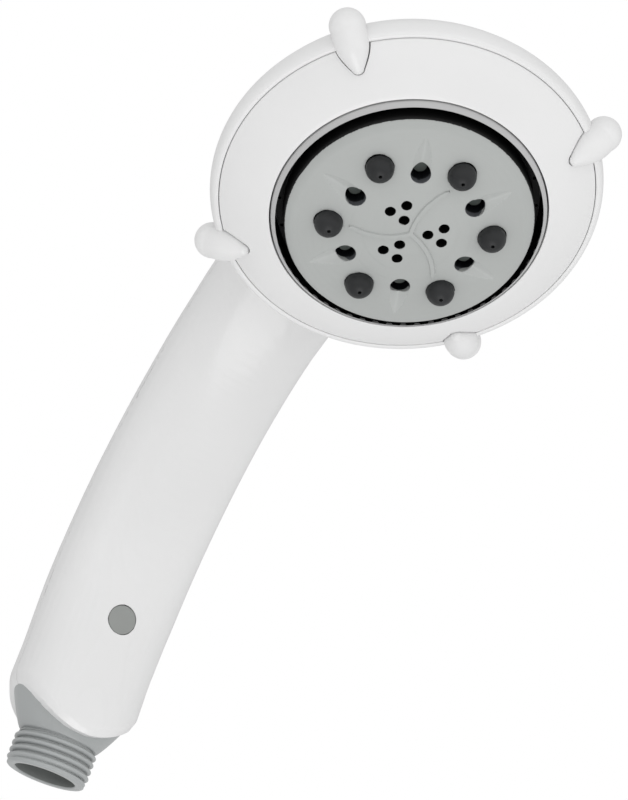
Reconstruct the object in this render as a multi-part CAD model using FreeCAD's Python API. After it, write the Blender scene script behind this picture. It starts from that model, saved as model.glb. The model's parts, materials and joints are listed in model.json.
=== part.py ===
import FreeCAD, Part
import os
from math import atan2, cos, radians, sin, sqrt
from FreeCAD import Placement, Rotation, Vector

# Handheld shower head, millimetres.
# World frame: the origin is the middle of the open end of the hose inlet, +Z runs up the inlet's
# axis, -Y is the side that sprays and X = 0 is the plane of symmetry of the handle.
# Head frame: x is the world X, z (written h below) is the way the water leaves and y points away
# from the handle. Its origin is the middle of the seam between the face plate and the grip ring.

# Head frame in the world frame
HEAD_Y = -92.5
HEAD_Z = 144.5
SPRAY_DIP = 50.0
TILT = radians(SPRAY_DIP)

# Handle spine: straight up from the inlet, then two tangent arcs into the back of the head
SPINE_STRAIGHT = 34.0
ARC_1_RADIUS = 150.0
ARC_1_TURN = 30.0
ARC_2_RADIUS = 100.0

# Handle shells
WALL = 2.2
SQUARENESS = 2.25
PARTING_GAP = 0.1
WAVE_LOW = 11.0
WAVE_HIGH = 19.0
WAVE_SPAN = 16.0
WAVE_REACH = 22.0

# Hose inlet, pipe thread G 1/2
PIPE_MAJOR_R = 20.955 / 2
PIPE_MINOR_R = 18.631 / 2
PIPE_PITCH = 1.814
THREAD_START = 1.0
THREAD_TURNS = 4.3
THREAD_TOP = 8.6
CREST_SECTORS = 4
COLLAR_R = 10.0
COLLAR_TOP = 10.0
BOWL_SIZES = ((9.2, 10.0, 10.0), (12.5, 12.2, 11.0), (16.5, 13.8, 11.15), (20.0, 13.8, 11.0),
              (26.0, 13.8, 10.7))
MOUTH_R = 7.8
MOUTH_DEPTH = 14.0
CARTRIDGE_R = 6.7
CARTRIDGE_TOP = 23.0
THROAT_R = 3.4
SPIGOT_R = 6.8
SPIGOT_LOW = 25.0
SPIGOT_TOP = 49.0

# Flow restrictor in the cartridge bore
DISC_LOW = 20.2
DISC_STEP = 21.4
DISC_R = 6.6
DISC_NECK_R = 5.2
METER_HOLE_R = 0.6
METER_CIRCLE_R = 3.0
METER_HOLES = 8

# Screw cover on the front of the handle
COVER_Z = 41.0
COVER_R = 3.65
COVER_FACE_Y = -12.8
COVER_THICK = 1.5
COVER_CHAMFER = 0.3
WELL_FLOOR_Y = -8.6
PAD_R = 5.2
PAD_BACK_Y = -7.0
PAD_FRONT_Y = -11.6
PILOT_BACK_Y = -4.6

# Water tube
TUBE_R = 4.0
TUBE_BORE_R = 3.0
TUBE_FOOT = 34.0
TUBE_STRAIGHT = 50.0
TUBE_END = 19.0
TUBE_PLAY = 0.05
LOWER_SEAL = (4.85, 0.75, 36.2)
LOWER_GROOVE = (5.7, 35.2, 37.2)

# Rear dome of the head: a wide crown arc and a tighter shoulder arc
DOME_R = 39.6
DOME_DEPTH = 26.0
DOME_SHOULDER_R = 18.0
DOME_H = -8.4
DOME_RIM_H = -7.6
NECK_H = -25.6

# Turning front of the head
SEAM_R = 44.75
FACE_BORE_R = 33.1
FACE_LIP_H = 8.0
FACE_BACK_H = -4.4
FACE_TUBE_R = 35.3
SKIRT_BORE_R = 42.5
SKIRT_H = -7.1
BOSS_TOP_H = 3.0
FACE_BULGE = (39.4, 4.55)
GRIP_BORE_R = 44.85
GRIP_OUTER_R = 46.9
GRIP_REAR_H = -8.6
FLANGE_H = -7.2
LUG_COUNT = 4
LUG_ANGLE = 50.6
LUG_BALL_R = 4.5
LUG_BALL = (48.6, -3.2)
LUG_TIP = (40.4, 4.6)
LUG_TIP_R = 0.8
LUG_GAP = 0.25

# Nozzle plate pattern
PATTERN_ANGLE = 25.5
PLATE_R = 29.77
PLATE_TOP_H = 15.4
CROWN_R = 127.0
PLATE_EDGE_R = 4.0
PLATE_BACK_H = 9.0
PLATE_SEAT_H = 3.3
PLATE_SKIRT = 1.87
PLATE_WALL_R = 13.2
PLATE_PILOT_H = 12.0
BALL_CIRCLE_R = 19.5
BALL_COUNT = 6
BALL_R = 3.38
BALL_H = 14.4
BALL_HOLE_R = 3.45
BALL_FLANGE_R = 4.2
BALL_FLANGE_TOP = 5.5
BALL_BORE_R = 2.4
ORIFICE_R = 0.5
SOCKET_R = 5.0
SOCKET_BORE_R = 4.35
SOCKET_BORE_TOP = 5.7
CHUTE_CIRCLE_R = 16.4
CHUTE_HOLE_R = 2.4
CHUTE_TIP_R = 26.2
CHUTE_FEED_R = 24.6
CLUSTER_COUNT = 3
CLUSTER_R = 6.5
CLUSTER_SPREAD = 2.4
JET_R = 1.3
JET_FEED_R = 5.6
RIB_WIDTH = 1.1
RIB_RISE = 0.35
RIB_HUB_R = 0.9
RIB_BOW = (8.1, 11.0)
RIB_END_R = 14.3
PLATE_SCREW_CIRCLE_R = 10.5
PLATE_BOSS_R = 2.5
TEETH = 60
TOOTH_R = 0.5
TOOTH_LOW = 7.4
RING_R = 32.75
RING_WALL_R = 32.0
RING_BORE_R = 31.5

# Selector and valve
PORT_CIRCLE_R = 14.0
PORT_R = 2.6
SELECTOR_STEP = 30.0
SELECTOR_STOPS = (-2, -1, 0, 1, 2)
INDEX_R = 42.3
INDEX_REAR_H = -6.9
INDEX_FRONT_H = -4.5
HANDLE_SIDE = 270.0
POST_R = 5.0
POST_TOP_H = -3.05
HUB_R = 9.0
HUB_BORE_R = 5.06
VALVE_R = 34.0
VALVE_FRONT_H = -9.0
VALVE_REAR_H = -12.0
VALVE_POST_R = 3.3
VALVE_PILOT_H = -20.0
VALVE_BOLT_R = 30.0
VALVE_BOLT_ANGLES = (30.0, 150.0, 236.0, 304.0)
SEAL_BORE_R = 5.7
SEAL_BORE_H = -18.2
PORT_SEAL_H = -12.6
WATER_WAY_R = 3.2
TUBE_SOCKET_R = 6.2
TUBE_SOCKET_OUT = (14.0, 29.0)
UPPER_SEAL_OUT = 24.0
PIVOT_SEAL_H = -5.7
DETENT_R = 2.0
DETENT_CIRCLE_R = 25.0
DETENT_SIDE = 90.0
DETENT_TRAVEL = 0.8
DETENT_H = INDEX_REAR_H - 0.05 - DETENT_R
DETENT_FLOOR_H = -18.5
DETENT_WALL_R = 3.8

# Chamber behind the nozzle plate
GASKET_R = 29.7
GASKET_BACK_H = 2.5
DISTRIBUTOR_R = 31.3
DISTRIBUTOR_BACK_H = 0.2
CHAMBER_WALLS = (31.3, 26.2, 17.6)
CHAMBER_WALL = 1.2
OUTER_JET_R = 0.45
OUTER_JET_CIRCLE_R = 30.55
OUTER_JETS = 24

# Screws
SELF_TAP_R = 1.2
SCREW_HOLE_R = 1.5
BOSS_CIRCLE_R = 38.8
BOSS_R = 2.8
FACE_SCREW_SEAT_H = -6.0
FACE_SCREW_WELL_R = 2.7
VALVE_SCREW_SEAT_H = -10.3
VALVE_SCREW_WELL_R = 2.9

# Length added to a cutting tool so that it passes right through
THROUGH = 60.0

AXIS = Vector(0, 0, 1)
HEAD = Placement(Vector(0, HEAD_Y, HEAD_Z), Rotation(Vector(1, 0, 0), 90 + SPRAY_DIP))


# ---------------------------------------------------------------- building blocks

def outline(steps):
    """Closed face in the XZ plane. A step is an end point, or (via, end) for an arc."""
    edges = []
    at = steps[0]
    for step in steps[1:] + [steps[0]]:
        if isinstance(step[0], tuple):
            via, end = step
            edges.append(Part.Arc(flat(at), flat(via), flat(end)).toShape())
        else:
            end = step
            edges.append(Part.makeLine(flat(at), flat(end)))
        at = end
    return Part.Face(Part.Wire(edges))


def flat(point):
    """Point (across, up) of an outline in the XZ plane."""
    return Vector(point[0], 0, point[1])


def turned(steps):
    """Solid of revolution about the z axis, from an outline of (radius, height)."""
    return outline(steps).revolve(Vector(0, 0, 0), AXIS, 360)


def rod(radius, low, high, place=(0, 0)):
    """Upright cylinder between two heights, at the place (x, y)."""
    return Part.makeCylinder(radius, high - low, Vector(place[0], place[1], low))


def tube(outer, inner, low, high):
    """Upright pipe on the axis."""
    return rod(outer, low, high).cut(rod(inner, low - 1, high + 1))


def polar(radius, angle):
    """Place on a circle about the axis, angle in degrees from x."""
    return (radius * cos(radians(angle)), radius * sin(radians(angle)))


def ring_of(make, radius, angles):
    """The same shape made at each angle of a circle, as a list."""
    return [make(polar(radius, angle)) for angle in angles]


def steps_round(count, start):
    """Equal angles round a full turn."""
    return [start + 360.0 * k / count for k in range(count)]


def o_ring(centre_r, wire_r, height):
    """Round seal on the axis."""
    return Part.makeTorus(centre_r, wire_r, Vector(0, 0, height), AXIS)


def coil_spring(coil_r, wire_r, low, high, turns):
    """Compression spring on the axis, one round wire along a helix."""
    rise = high - low - 2 * wire_r
    helix = Part.makeHelix(rise / turns, rise, coil_r)
    section = Part.Wire(Part.makeCircle(wire_r, Vector(coil_r, 0, 0), Vector(0, 1, 0)))
    spring = Part.Wire(helix).makePipeShell([section], True, True)
    spring.translate(Vector(0, 0, low + wire_r))
    return spring


def pan_screw(head_r, head_height, shank_r, length, slot=0.9):
    """Pan head screw on the axis, seat at height 0, shank downwards, with a cross recess."""
    head = turned([(0, 0), (head_r, 0), (head_r, head_height * 0.4),
                   ((head_r * 0.75, head_height * 0.9), (0, head_height))])
    shank = turned([(0, 0.01), (shank_r, 0.01), (shank_r, -length + shank_r),
                    (shank_r * 0.3, -length), (0, -length)])
    screw = head.fuse(shank)
    for turn in (0, 90):
        blade = Part.makeBox(head_r * 1.2, slot, head_height)
        blade.translate(Vector(-head_r * 0.6, -slot / 2, head_height * 0.45))
        blade.rotate(Vector(0, 0, 0), AXIS, turn)
        screw = screw.cut(blade)
    return screw


def save(name, shape, in_head=False):
    """Write one node, after moving it from the head frame if it was made there."""
    whole = shape.copy()
    if in_head:
        whole.transformShape(HEAD.toMatrix())
    whole.exportStep("parts/" + name + ".step")
    solids = len(whole.Solids)
    print(name, "solids", solids, "valid", whole.isValid(), "volume", round(whole.Volume, 1))


# ---------------------------------------------------------------- handle

def head_point(out, h):
    """World (Y, Z) of a point on the plane of symmetry, out from the head's axis to the handle."""
    return (HEAD_Y + out * sin(TILT) - h * cos(TILT), HEAD_Z - out * cos(TILT) - h * sin(TILT))


def spine_point(along):
    """World (Y, Z) and lean of the handle's spine, by distance from the inlet."""
    turn_1 = radians(ARC_1_TURN)
    length_1 = ARC_1_RADIUS * turn_1
    if along <= SPINE_STRAIGHT:
        return 0.0, along, 0.0
    if along <= SPINE_STRAIGHT + length_1:
        lean = (along - SPINE_STRAIGHT) / ARC_1_RADIUS
        return -ARC_1_RADIUS * (1 - cos(lean)), SPINE_STRAIGHT + ARC_1_RADIUS * sin(lean), lean
    lean = turn_1 + (along - SPINE_STRAIGHT - length_1) / ARC_2_RADIUS
    y1 = -ARC_1_RADIUS * (1 - cos(turn_1))
    z1 = SPINE_STRAIGHT + ARC_1_RADIUS * sin(turn_1)
    y = y1 - ARC_2_RADIUS * (cos(turn_1) - cos(lean))
    z = z1 + ARC_2_RADIUS * (sin(lean) - sin(turn_1))
    return y, z, lean


def spine_length():
    """Length of the straight and both arcs, up to where the spine runs level with the face."""
    turn_2 = TILT - radians(ARC_1_TURN)
    return SPINE_STRAIGHT + ARC_1_RADIUS * radians(ARC_1_TURN) + ARC_2_RADIUS * turn_2


def section(y, z, lean, half_width, half_depth):
    """Closed oval across the spine, slightly squarer than an ellipse."""
    points = []
    for k in range(16):
        c = cos(radians(22.5 * k))
        s = sin(radians(22.5 * k))
        across = half_width * abs(c) ** (2 / SQUARENESS) * (1 if c >= 0 else -1)
        deep = half_depth * abs(s) ** (2 / SQUARENESS) * (1 if s >= 0 else -1)
        points.append(Vector(across, y + deep * cos(lean), z + deep * sin(lean)))
    curve = Part.BSplineCurve()
    curve.interpolate(points, PeriodicFlag=True)
    return Part.Wire(curve.toShape())


# Half width and half depth of the handle, by distance along its spine
HANDLE_SIZES = (
    (6.0, 16.3, 13.6),
    (13.0, 16.5, 13.8),
    (20.0, 16.3, 13.5),
    (30.0, 16.5, 13.0),
    (48.0, 17.0, 12.5),
    (75.0, 17.05, 11.9),
    (102.0, 16.95, 11.3),
    (125.0, 17.15, 10.8),
)
# The neck inside the head: out from the axis, h, half width and half depth
NECK_SIZES = (
    (44.0, NECK_H, 18.0, 10.3),
    (26.0, NECK_H, 17.8, 9.6),
    (6.0, NECK_H + 0.8, 14.5, 7.6),
)


def handle_loft(inset):
    """Outer shape of the handle, or its cavity when inset by the wall."""
    wires = []
    for along, half_width, half_depth in HANDLE_SIZES:
        y, z, lean = spine_point(along)
        wires.append(section(y, z, lean, half_width - inset, half_depth - inset))
    for out, h, half_width, half_depth in NECK_SIZES:
        y, z = head_point(out, h)
        wires.append(section(y, z, TILT, half_width - inset, half_depth - inset))
    return Part.makeLoft(wires, True, False)


def dome(inset):
    """Rear dome in the head frame: crown and shoulder arcs under a short cylinder."""
    spread = DOME_R - DOME_SHOULDER_R
    crown_r = ((DOME_R ** 2 - 2 * DOME_R * DOME_SHOULDER_R + DOME_DEPTH ** 2)
               / (2 * (DOME_DEPTH - DOME_SHOULDER_R)))
    crown_rise = crown_r - DOME_DEPTH
    meet = atan2(spread, crown_rise)
    crown = crown_r - inset
    shoulder = DOME_SHOULDER_R - inset
    middle = (meet + radians(90)) / 2
    mouth_h = DOME_RIM_H + (1.0 if inset else 0.0)
    return turned([
        (0, DOME_H + crown_rise - crown),
        ((crown * sin(meet / 2), DOME_H + crown_rise - crown * cos(meet / 2)),
         (crown * sin(meet), DOME_H + crown_rise - crown * cos(meet))),
        ((spread + shoulder * sin(middle), DOME_H - shoulder * cos(middle)),
         (spread + shoulder, DOME_H)),
        (spread + shoulder, mouth_h),
        (0, mouth_h),
    ])


def front_region(shift, clear_r):
    """Everything in front of the spine, outside a cylinder about the head's axis."""
    reach = 200.0
    half_span = 60.0
    y0, z0 = 0.0, -10.0
    y1, z1, _ = spine_point(SPINE_STRAIGHT)
    length_1 = ARC_1_RADIUS * radians(ARC_1_TURN)
    y2, z2, _ = spine_point(SPINE_STRAIGHT + length_1 / 2)
    y3, z3, _ = spine_point(SPINE_STRAIGHT + length_1)
    full = spine_length()
    y4, z4, _ = spine_point((SPINE_STRAIGHT + length_1 + full) / 2)
    y5, z5, _ = spine_point(full)
    y6, z6 = head_point(10.0, NECK_H)
    spots = [Vector(-half_span, y + shift, z) for y, z in
             ((y0, z0), (y1, z1), (y2, z2), (y3, z3), (y4, z4), (y5, z5), (y6, z6))]
    far_top = Vector(-half_span, -reach, z6)
    far_low = Vector(-half_span, -reach, z0)
    edges = [
        Part.makeLine(spots[0], spots[1]),
        Part.Arc(spots[1], spots[2], spots[3]).toShape(),
        Part.Arc(spots[3], spots[4], spots[5]).toShape(),
        Part.makeLine(spots[5], spots[6]),
        Part.makeLine(spots[6], far_top),
        Part.makeLine(far_top, far_low),
        Part.makeLine(far_low, spots[0]),
    ]
    region = Part.Face(Part.Wire(edges)).extrude(Vector(2 * half_span, 0, 0))
    core = rod(clear_r, -60, 60)
    core.transformShape(HEAD.toMatrix())
    return region.cut(core)


def wave_cutter():
    """Everything below the wavy lower edge: low at front and back, high at the two sides."""
    middle = (WAVE_LOW + WAVE_HIGH) / 2
    points = [Vector(-WAVE_REACH, -40, WAVE_HIGH)]
    for k in range(-9, 10):
        swing = (WAVE_HIGH - WAVE_LOW) / 2 * cos(radians(20.0 * k))
        points.append(Vector(WAVE_SPAN * k / 9, -40, middle - swing))
    points.append(Vector(WAVE_REACH, -40, WAVE_HIGH))
    curve = Part.BSplineCurve()
    curve.interpolate(points)
    left = points[0]
    right = points[-1]
    drop = Vector(0, 0, -40)
    edges = [curve.toShape(), Part.makeLine(right, right + drop),
             Part.makeLine(right + drop, left + drop), Part.makeLine(left + drop, left)]
    return Part.Face(Part.Wire(edges)).extrude(Vector(0, 80, 0))


def handle_shells():
    """Front half, and rear half with the dome, both hollow."""
    bowl = dome(0)
    bowl.transformShape(HEAD.toMatrix())
    hollow = dome(WALL)
    hollow.transformShape(HEAD.toMatrix())
    outside = handle_loft(0).fuse(bowl)
    inside = handle_loft(WALL).fuse(hollow)
    shell = outside.cut(inside).cut(wave_cutter())
    front = shell.common(front_region(0, DOME_R + 0.15))
    rear = shell.cut(front_region(PARTING_GAP, DOME_R + 0.05))
    return front_details(front), rear_details(rear)


def front_details(front):
    """Adds the screw seat under the cover, keeping the one large piece of the shell."""
    seat = front_rod(PAD_R, PAD_BACK_Y, PAD_FRONT_Y)
    well = front_rod(COVER_R + 0.1, WELL_FLOOR_Y, WELL_FLOOR_Y - THROUGH)
    clearance = front_rod(SCREW_HOLE_R, PAD_BACK_Y + 1, PAD_FRONT_Y)
    body = max(front.Solids, key=lambda s: s.Volume)
    return body.fuse(seat).cut(well).cut(clearance)


def front_rod(radius, back_y, front_y):
    """Cylinder along Y on the axis of the connector's screw, between two depths."""
    return Part.makeCylinder(radius, back_y - front_y, Vector(0, back_y, COVER_Z), Vector(0, -1, 0))


def rear_details(rear):
    """Adds the four posts that carry the valve body."""
    body = max(rear.Solids, key=lambda s: s.Volume)
    outer = dome(WALL / 2)
    for angle in VALVE_BOLT_ANGLES:
        place = polar(VALVE_BOLT_R, angle)
        post = rod(VALVE_POST_R, -THROUGH, VALVE_REAR_H, place).common(outer)
        pilot = rod(SELF_TAP_R, VALVE_PILOT_H, VALVE_REAR_H + 1, place)
        post = post.cut(pilot)
        post.transformShape(HEAD.toMatrix())
        body = body.fuse(post)
    return body


# ---------------------------------------------------------------- inlet

def pipe_thread():
    """Rounded right-handed ridge of the pipe thread, with its crest turned to the major radius."""
    root = PIPE_MINOR_R - 0.25
    shoulder = PIPE_MAJOR_R - 0.3
    peak = PIPE_MAJOR_R + 0.06
    half_root = PIPE_PITCH * 0.46
    half_crest = PIPE_PITCH * 0.18
    profile = outline([(root, -half_root), (shoulder, -half_crest),
                       ((peak, 0), (shoulder, half_crest)), (root, half_root)]).OuterWire
    helix = Part.makeHelix(PIPE_PITCH, PIPE_PITCH * THREAD_TURNS, root)
    ridge = Part.Wire(helix).makePipeShell([profile], True, True)
    ridge.translate(Vector(0, 0, THREAD_START))
    top = THREAD_START + PIPE_PITCH * (THREAD_TURNS + 1)
    return in_sectors(ridge.common(rod(PIPE_MAJOR_R, 0, top)), top)


def in_sectors(ridge, top):
    """The same ridge with its faces divided at equal angles, so that each crest face is short."""
    pieces = []
    for angle in steps_round(CREST_SECTORS, 0):
        sector = Part.makeCylinder(PIPE_MAJOR_R + 1, top, Vector(0, 0, 0), AXIS,
                                   360.0 / CREST_SECTORS)
        sector.rotate(Vector(0, 0, 0), AXIS, angle)
        pieces.append(ridge.common(sector))
    return pieces[0].fuse(pieces[1:])


def inlet_connector():
    """Threaded end, bowl that fills the mouth of the handle, and spigot for the water tube."""
    core = turned([(0, 0), (PIPE_MINOR_R - 0.5, 0), (PIPE_MINOR_R, 0.6),
                   (PIPE_MINOR_R, THREAD_TOP), (COLLAR_R, THREAD_TOP + 0.6),
                   (COLLAR_R, COLLAR_TOP), (0, COLLAR_TOP)])
    bowl = Part.makeLoft([section(0, z, 0, a, b) for z, a, b in BOWL_SIZES], True, False)
    spigot = rod(SPIGOT_R, SPIGOT_LOW, SPIGOT_TOP)
    body = core.fuse(bowl).fuse(spigot)
    socket_low = TUBE_FOOT - 2 * TUBE_PLAY
    socket_r = TUBE_R + TUBE_PLAY
    bore = turned([(0, -1), (MOUTH_R, -1), (MOUTH_R, MOUTH_DEPTH), (CARTRIDGE_R, MOUTH_DEPTH),
                   (CARTRIDGE_R, CARTRIDGE_TOP), (THROAT_R, CARTRIDGE_TOP),
                   (THROAT_R, socket_low), (socket_r, socket_low),
                   (socket_r, SPIGOT_TOP + 1), (0, SPIGOT_TOP + 1)])
    groove = rod(*LOWER_GROOVE)
    pilot = front_rod(SELF_TAP_R, PILOT_BACK_Y, WELL_FLOOR_Y)
    return body.cut(bore).cut(groove).cut(pilot).fuse(pipe_thread())


def flow_restrictor():
    """Disc with a ring of small holes that limits the flow."""
    disc = turned([(0, DISC_LOW), (DISC_NECK_R, DISC_LOW), (DISC_NECK_R, DISC_STEP),
                   (DISC_R, DISC_STEP), (DISC_R, CARTRIDGE_TOP), (0, CARTRIDGE_TOP)])
    for hole in ring_of(lambda place: rod(METER_HOLE_R, 0, THROUGH, place), METER_CIRCLE_R,
                        steps_round(METER_HOLES, 0)):
        disc = disc.cut(hole)
    return disc


def water_tube():
    """Round pipe from the inlet spigot to the socket of the valve body."""
    gap = NECK_H - head_frame_h(0, TUBE_STRAIGHT)
    radius = -gap / (1 - cos(TILT))
    y_end = -radius * (1 - cos(TILT))
    z_end = TUBE_STRAIGHT + radius * sin(TILT)
    socket = head_point(TUBE_END, NECK_H)
    path = Part.Wire([
        Part.makeLine(Vector(0, 0, TUBE_FOOT), Vector(0, 0, TUBE_STRAIGHT)),
        Part.Arc(Vector(0, 0, TUBE_STRAIGHT),
                 Vector(0, -radius * (1 - cos(TILT / 2)), TUBE_STRAIGHT + radius * sin(TILT / 2)),
                 Vector(0, y_end, z_end)).toShape(),
        Part.makeLine(Vector(0, y_end, z_end), Vector(0, socket[0], socket[1])),
    ])
    foot = Vector(0, 0, TUBE_FOOT)
    outer = path.makePipeShell([Part.Wire(Part.makeCircle(TUBE_R, foot, AXIS))], True, False)
    inner = path.makePipeShell([Part.Wire(Part.makeCircle(TUBE_BORE_R, foot, AXIS))], True, False)
    return outer.cut(inner)


def head_frame_h(y, z):
    """Height h in the head frame of a world point on the plane of symmetry."""
    return -(y - HEAD_Y) * cos(TILT) - (z - HEAD_Z) * sin(TILT)


def screw_cover():
    """Flush round plug over the handle's screw."""
    edge = COVER_R - COVER_CHAMFER
    cover = turned([(0, 0), (edge, 0), (COVER_R, COVER_CHAMFER), (COVER_R, COVER_THICK),
                    (0, COVER_THICK)])
    cover.rotate(Vector(0, 0, 0), Vector(1, 0, 0), 270)
    cover.translate(Vector(0, COVER_FACE_Y, COVER_Z))
    return cover


def connector_screw():
    """Screw through the front shell into the spigot."""
    screw = pan_screw(2.8, 1.7, SELF_TAP_R, 3.7)
    screw.rotate(Vector(0, 0, 0), Vector(1, 0, 0), 90)
    screw.translate(Vector(0, WELL_FLOOR_Y, COVER_Z))
    return screw


# ---------------------------------------------------------------- turning front of the head

def lug(extra):
    """Teardrop lug at angle 0: a ball outside the ring that tapers to a tip on the face."""
    ball = Vector(LUG_BALL[0], 0, LUG_BALL[1])
    tip = Vector(LUG_TIP[0], 0, LUG_TIP[1])
    run = tip - ball
    length = run.Length
    ball_r = LUG_BALL_R + extra
    tip_r = LUG_TIP_R + extra
    lean = (ball_r - tip_r) / length
    rise = sqrt(1 - lean * lean)
    drop = turned([(0, -ball_r), ((ball_r, 0), (ball_r * rise, ball_r * lean)),
                   (tip_r * rise, length + tip_r * lean),
                   ((tip_r * sqrt((1 - lean) / 2), length + tip_r * sqrt((1 + lean) / 2)),
                    (0, length + tip_r))])
    drop.Placement = Placement(ball, Rotation(AXIS, run))
    return drop


def lugs(extra):
    """All the lugs round the ring."""
    found = []
    for angle in steps_round(LUG_COUNT, LUG_ANGLE):
        one = lug(extra)
        one.rotate(Vector(0, 0, 0), AXIS, angle)
        found.append(one)
    return found


def grip_ring():
    """Rounded band with its lugs moulded on, and a rear flange that closes it to the dome."""
    flange_r = DOME_R + 0.6
    band = turned([(GRIP_BORE_R, -0.15), (GRIP_BORE_R + 1, -0.15),
                   ((GRIP_OUTER_R, -3.1), (45.5, -6.8)), (44.6, GRIP_REAR_H),
                   (flange_r, GRIP_REAR_H), (flange_r, FLANGE_H), (GRIP_BORE_R, FLANGE_H)])
    ring = band
    for one in lugs(0):
        ring = ring.fuse(one)
    opening = rod(FACE_TUBE_R - 0.2, -THROUGH, THROUGH)
    pocket = rod(INDEX_R + 0.35, FLANGE_H, -0.8)
    return ring.cut(opening).cut(pocket)


def face_outline():
    """White cone of the face with its skirt and the tube that holds the serrated ring."""
    return [(FACE_BORE_R, FACE_BACK_H), (FACE_BORE_R, FACE_LIP_H - 0.3),
            ((FACE_BORE_R + 0.1, FACE_LIP_H - 0.08), (FACE_BORE_R + 0.4, FACE_LIP_H)),
            (FACE_BULGE, (SEAM_R - 0.3, 0.15)),
            ((SEAM_R - 0.08, -0.02), (SEAM_R, -0.3)), (SEAM_R, SKIRT_H), (SKIRT_BORE_R, SKIRT_H),
            (SKIRT_BORE_R, -0.6), (FACE_TUBE_R, 4.6), (FACE_TUBE_R, FACE_BACK_H)]


def face_plate():
    """Face with a notch for each lug and four bosses for the screws of the index plate."""
    face = turned(face_outline())
    for boss in ring_of(lambda place: rod(BOSS_R, FACE_BACK_H, BOSS_TOP_H, place), BOSS_CIRCLE_R,
                        boss_angles()):
        face = face.fuse(boss)
    for pilot in ring_of(lambda place: rod(SELF_TAP_R, FACE_BACK_H - 1, BOSS_TOP_H - 1, place),
                         BOSS_CIRCLE_R, boss_angles()):
        face = face.cut(pilot)
    for notch in lugs(LUG_GAP):
        face = face.cut(notch)
    return max(face.Solids, key=lambda s: s.Volume)


def boss_angles():
    """Screw bosses midway between the lugs."""
    return steps_round(LUG_COUNT, LUG_ANGLE + 180.0 / LUG_COUNT)


def serrated_ring():
    """Thin ring round the gap of the outer spray, with short rounded teeth under its lip."""
    lip_back = FACE_LIP_H - 0.1
    ring = turned([(RING_BORE_R, lip_back), (RING_BORE_R, FACE_LIP_H + 0.1),
                   ((RING_BORE_R + 0.15, FACE_LIP_H + 0.3), (RING_BORE_R + 0.4, FACE_LIP_H + 0.35)),
                   (RING_R - 0.2, FACE_LIP_H + 0.15), (RING_R, lip_back),
                   (RING_R, FACE_BACK_H), (RING_WALL_R, FACE_BACK_H), (RING_WALL_R, lip_back)])
    tooth_circle_r = RING_BORE_R + TOOTH_R
    for tooth in ring_of(lambda place: rod(TOOTH_R, TOOTH_LOW, lip_back + 0.1, place),
                         tooth_circle_r, steps_round(TEETH, PATTERN_ANGLE)):
        ring = ring.fuse(tooth)
    return ring


def plate_crown(rise):
    """Solid front of the nozzle plate with its rounded edge, raised by a small amount."""
    middle = Vector(0, 0, PLATE_TOP_H + rise - CROWN_R)
    crown = rod(PLATE_R, PLATE_SEAT_H, PLATE_TOP_H + 5)
    crown = crown.common(Part.makeSphere(CROWN_R, middle, Vector(1, 0, 0)))
    rim = [edge for edge in crown.Edges if edge.BoundBox.ZMin > PLATE_BACK_H]
    return crown.makeFillet(PLATE_EDGE_R, rim)


def crown_h(radius):
    """Height of the domed front at a radius."""
    return PLATE_TOP_H - CROWN_R + sqrt(CROWN_R * CROWN_R - radius * radius)


def chute(angle):
    """Round jet hole with a leaf-shaped run-out that narrows towards the rim."""
    hole = rod(CHUTE_HOLE_R, 0, THROUGH, (CHUTE_CIRCLE_R, 0))
    wide = Vector(CHUTE_CIRCLE_R, 0, crown_h(CHUTE_CIRCLE_R) - 0.1)
    tip = Vector(CHUTE_TIP_R, 0, crown_h(CHUTE_TIP_R) + 0.15)
    leaf = Part.makeCone(CHUTE_HOLE_R, 0.05, (tip - wide).Length, wide, tip - wide)
    cut = hole.fuse(leaf)
    cut.rotate(Vector(0, 0, 0), AXIS, angle)
    return cut


def swirl_rib(angle):
    """One bowed arm of the raised rib, from the middle towards a ball nozzle."""
    middle = polar(*RIB_BOW)
    arc = Part.Arc(Vector(0, 0, 0), Vector(middle[0], middle[1], 0), Vector(RIB_END_R, 0, 0))
    circle = arc.toShape().Curve
    centre = circle.Center + Vector(0, 0, PLATE_BACK_H + 0.1)
    outer = Part.makeCylinder(circle.Radius + RIB_WIDTH / 2, THROUGH, centre)
    inner = Part.makeCylinder(circle.Radius - RIB_WIDTH / 2, THROUGH, centre)
    side = [(0, 0), (RIB_END_R, -0.01), (RIB_END_R + 1.7, 6), (4, 9), (0, 0)]
    corner = Part.makePolygon([Vector(x, y, 0) for x, y in side])
    slice_of = Part.Face(corner).extrude(Vector(0, 0, THROUGH))
    arm = outer.cut(inner).common(slice_of)
    arm.rotate(Vector(0, 0, 0), AXIS, angle)
    return arm


def ball_angles():
    return steps_round(BALL_COUNT, PATTERN_ANGLE)


def chute_angles():
    return steps_round(BALL_COUNT, PATTERN_ANGLE + 180.0 / BALL_COUNT)


def cluster_angles():
    return steps_round(CLUSTER_COUNT, PATTERN_ANGLE)


def rib_angles():
    return steps_round(CLUSTER_COUNT, PATTERN_ANGLE + 180.0 / CLUSTER_COUNT)


def jet_places():
    """Nine fine jets in three triangles."""
    places = []
    for angle in cluster_angles():
        middle = polar(CLUSTER_R, angle)
        for turn in (60, 180, 300):
            offset = polar(CLUSTER_SPREAD, angle + turn)
            places.append((middle[0] + offset[0], middle[1] + offset[1]))
    return places


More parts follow.
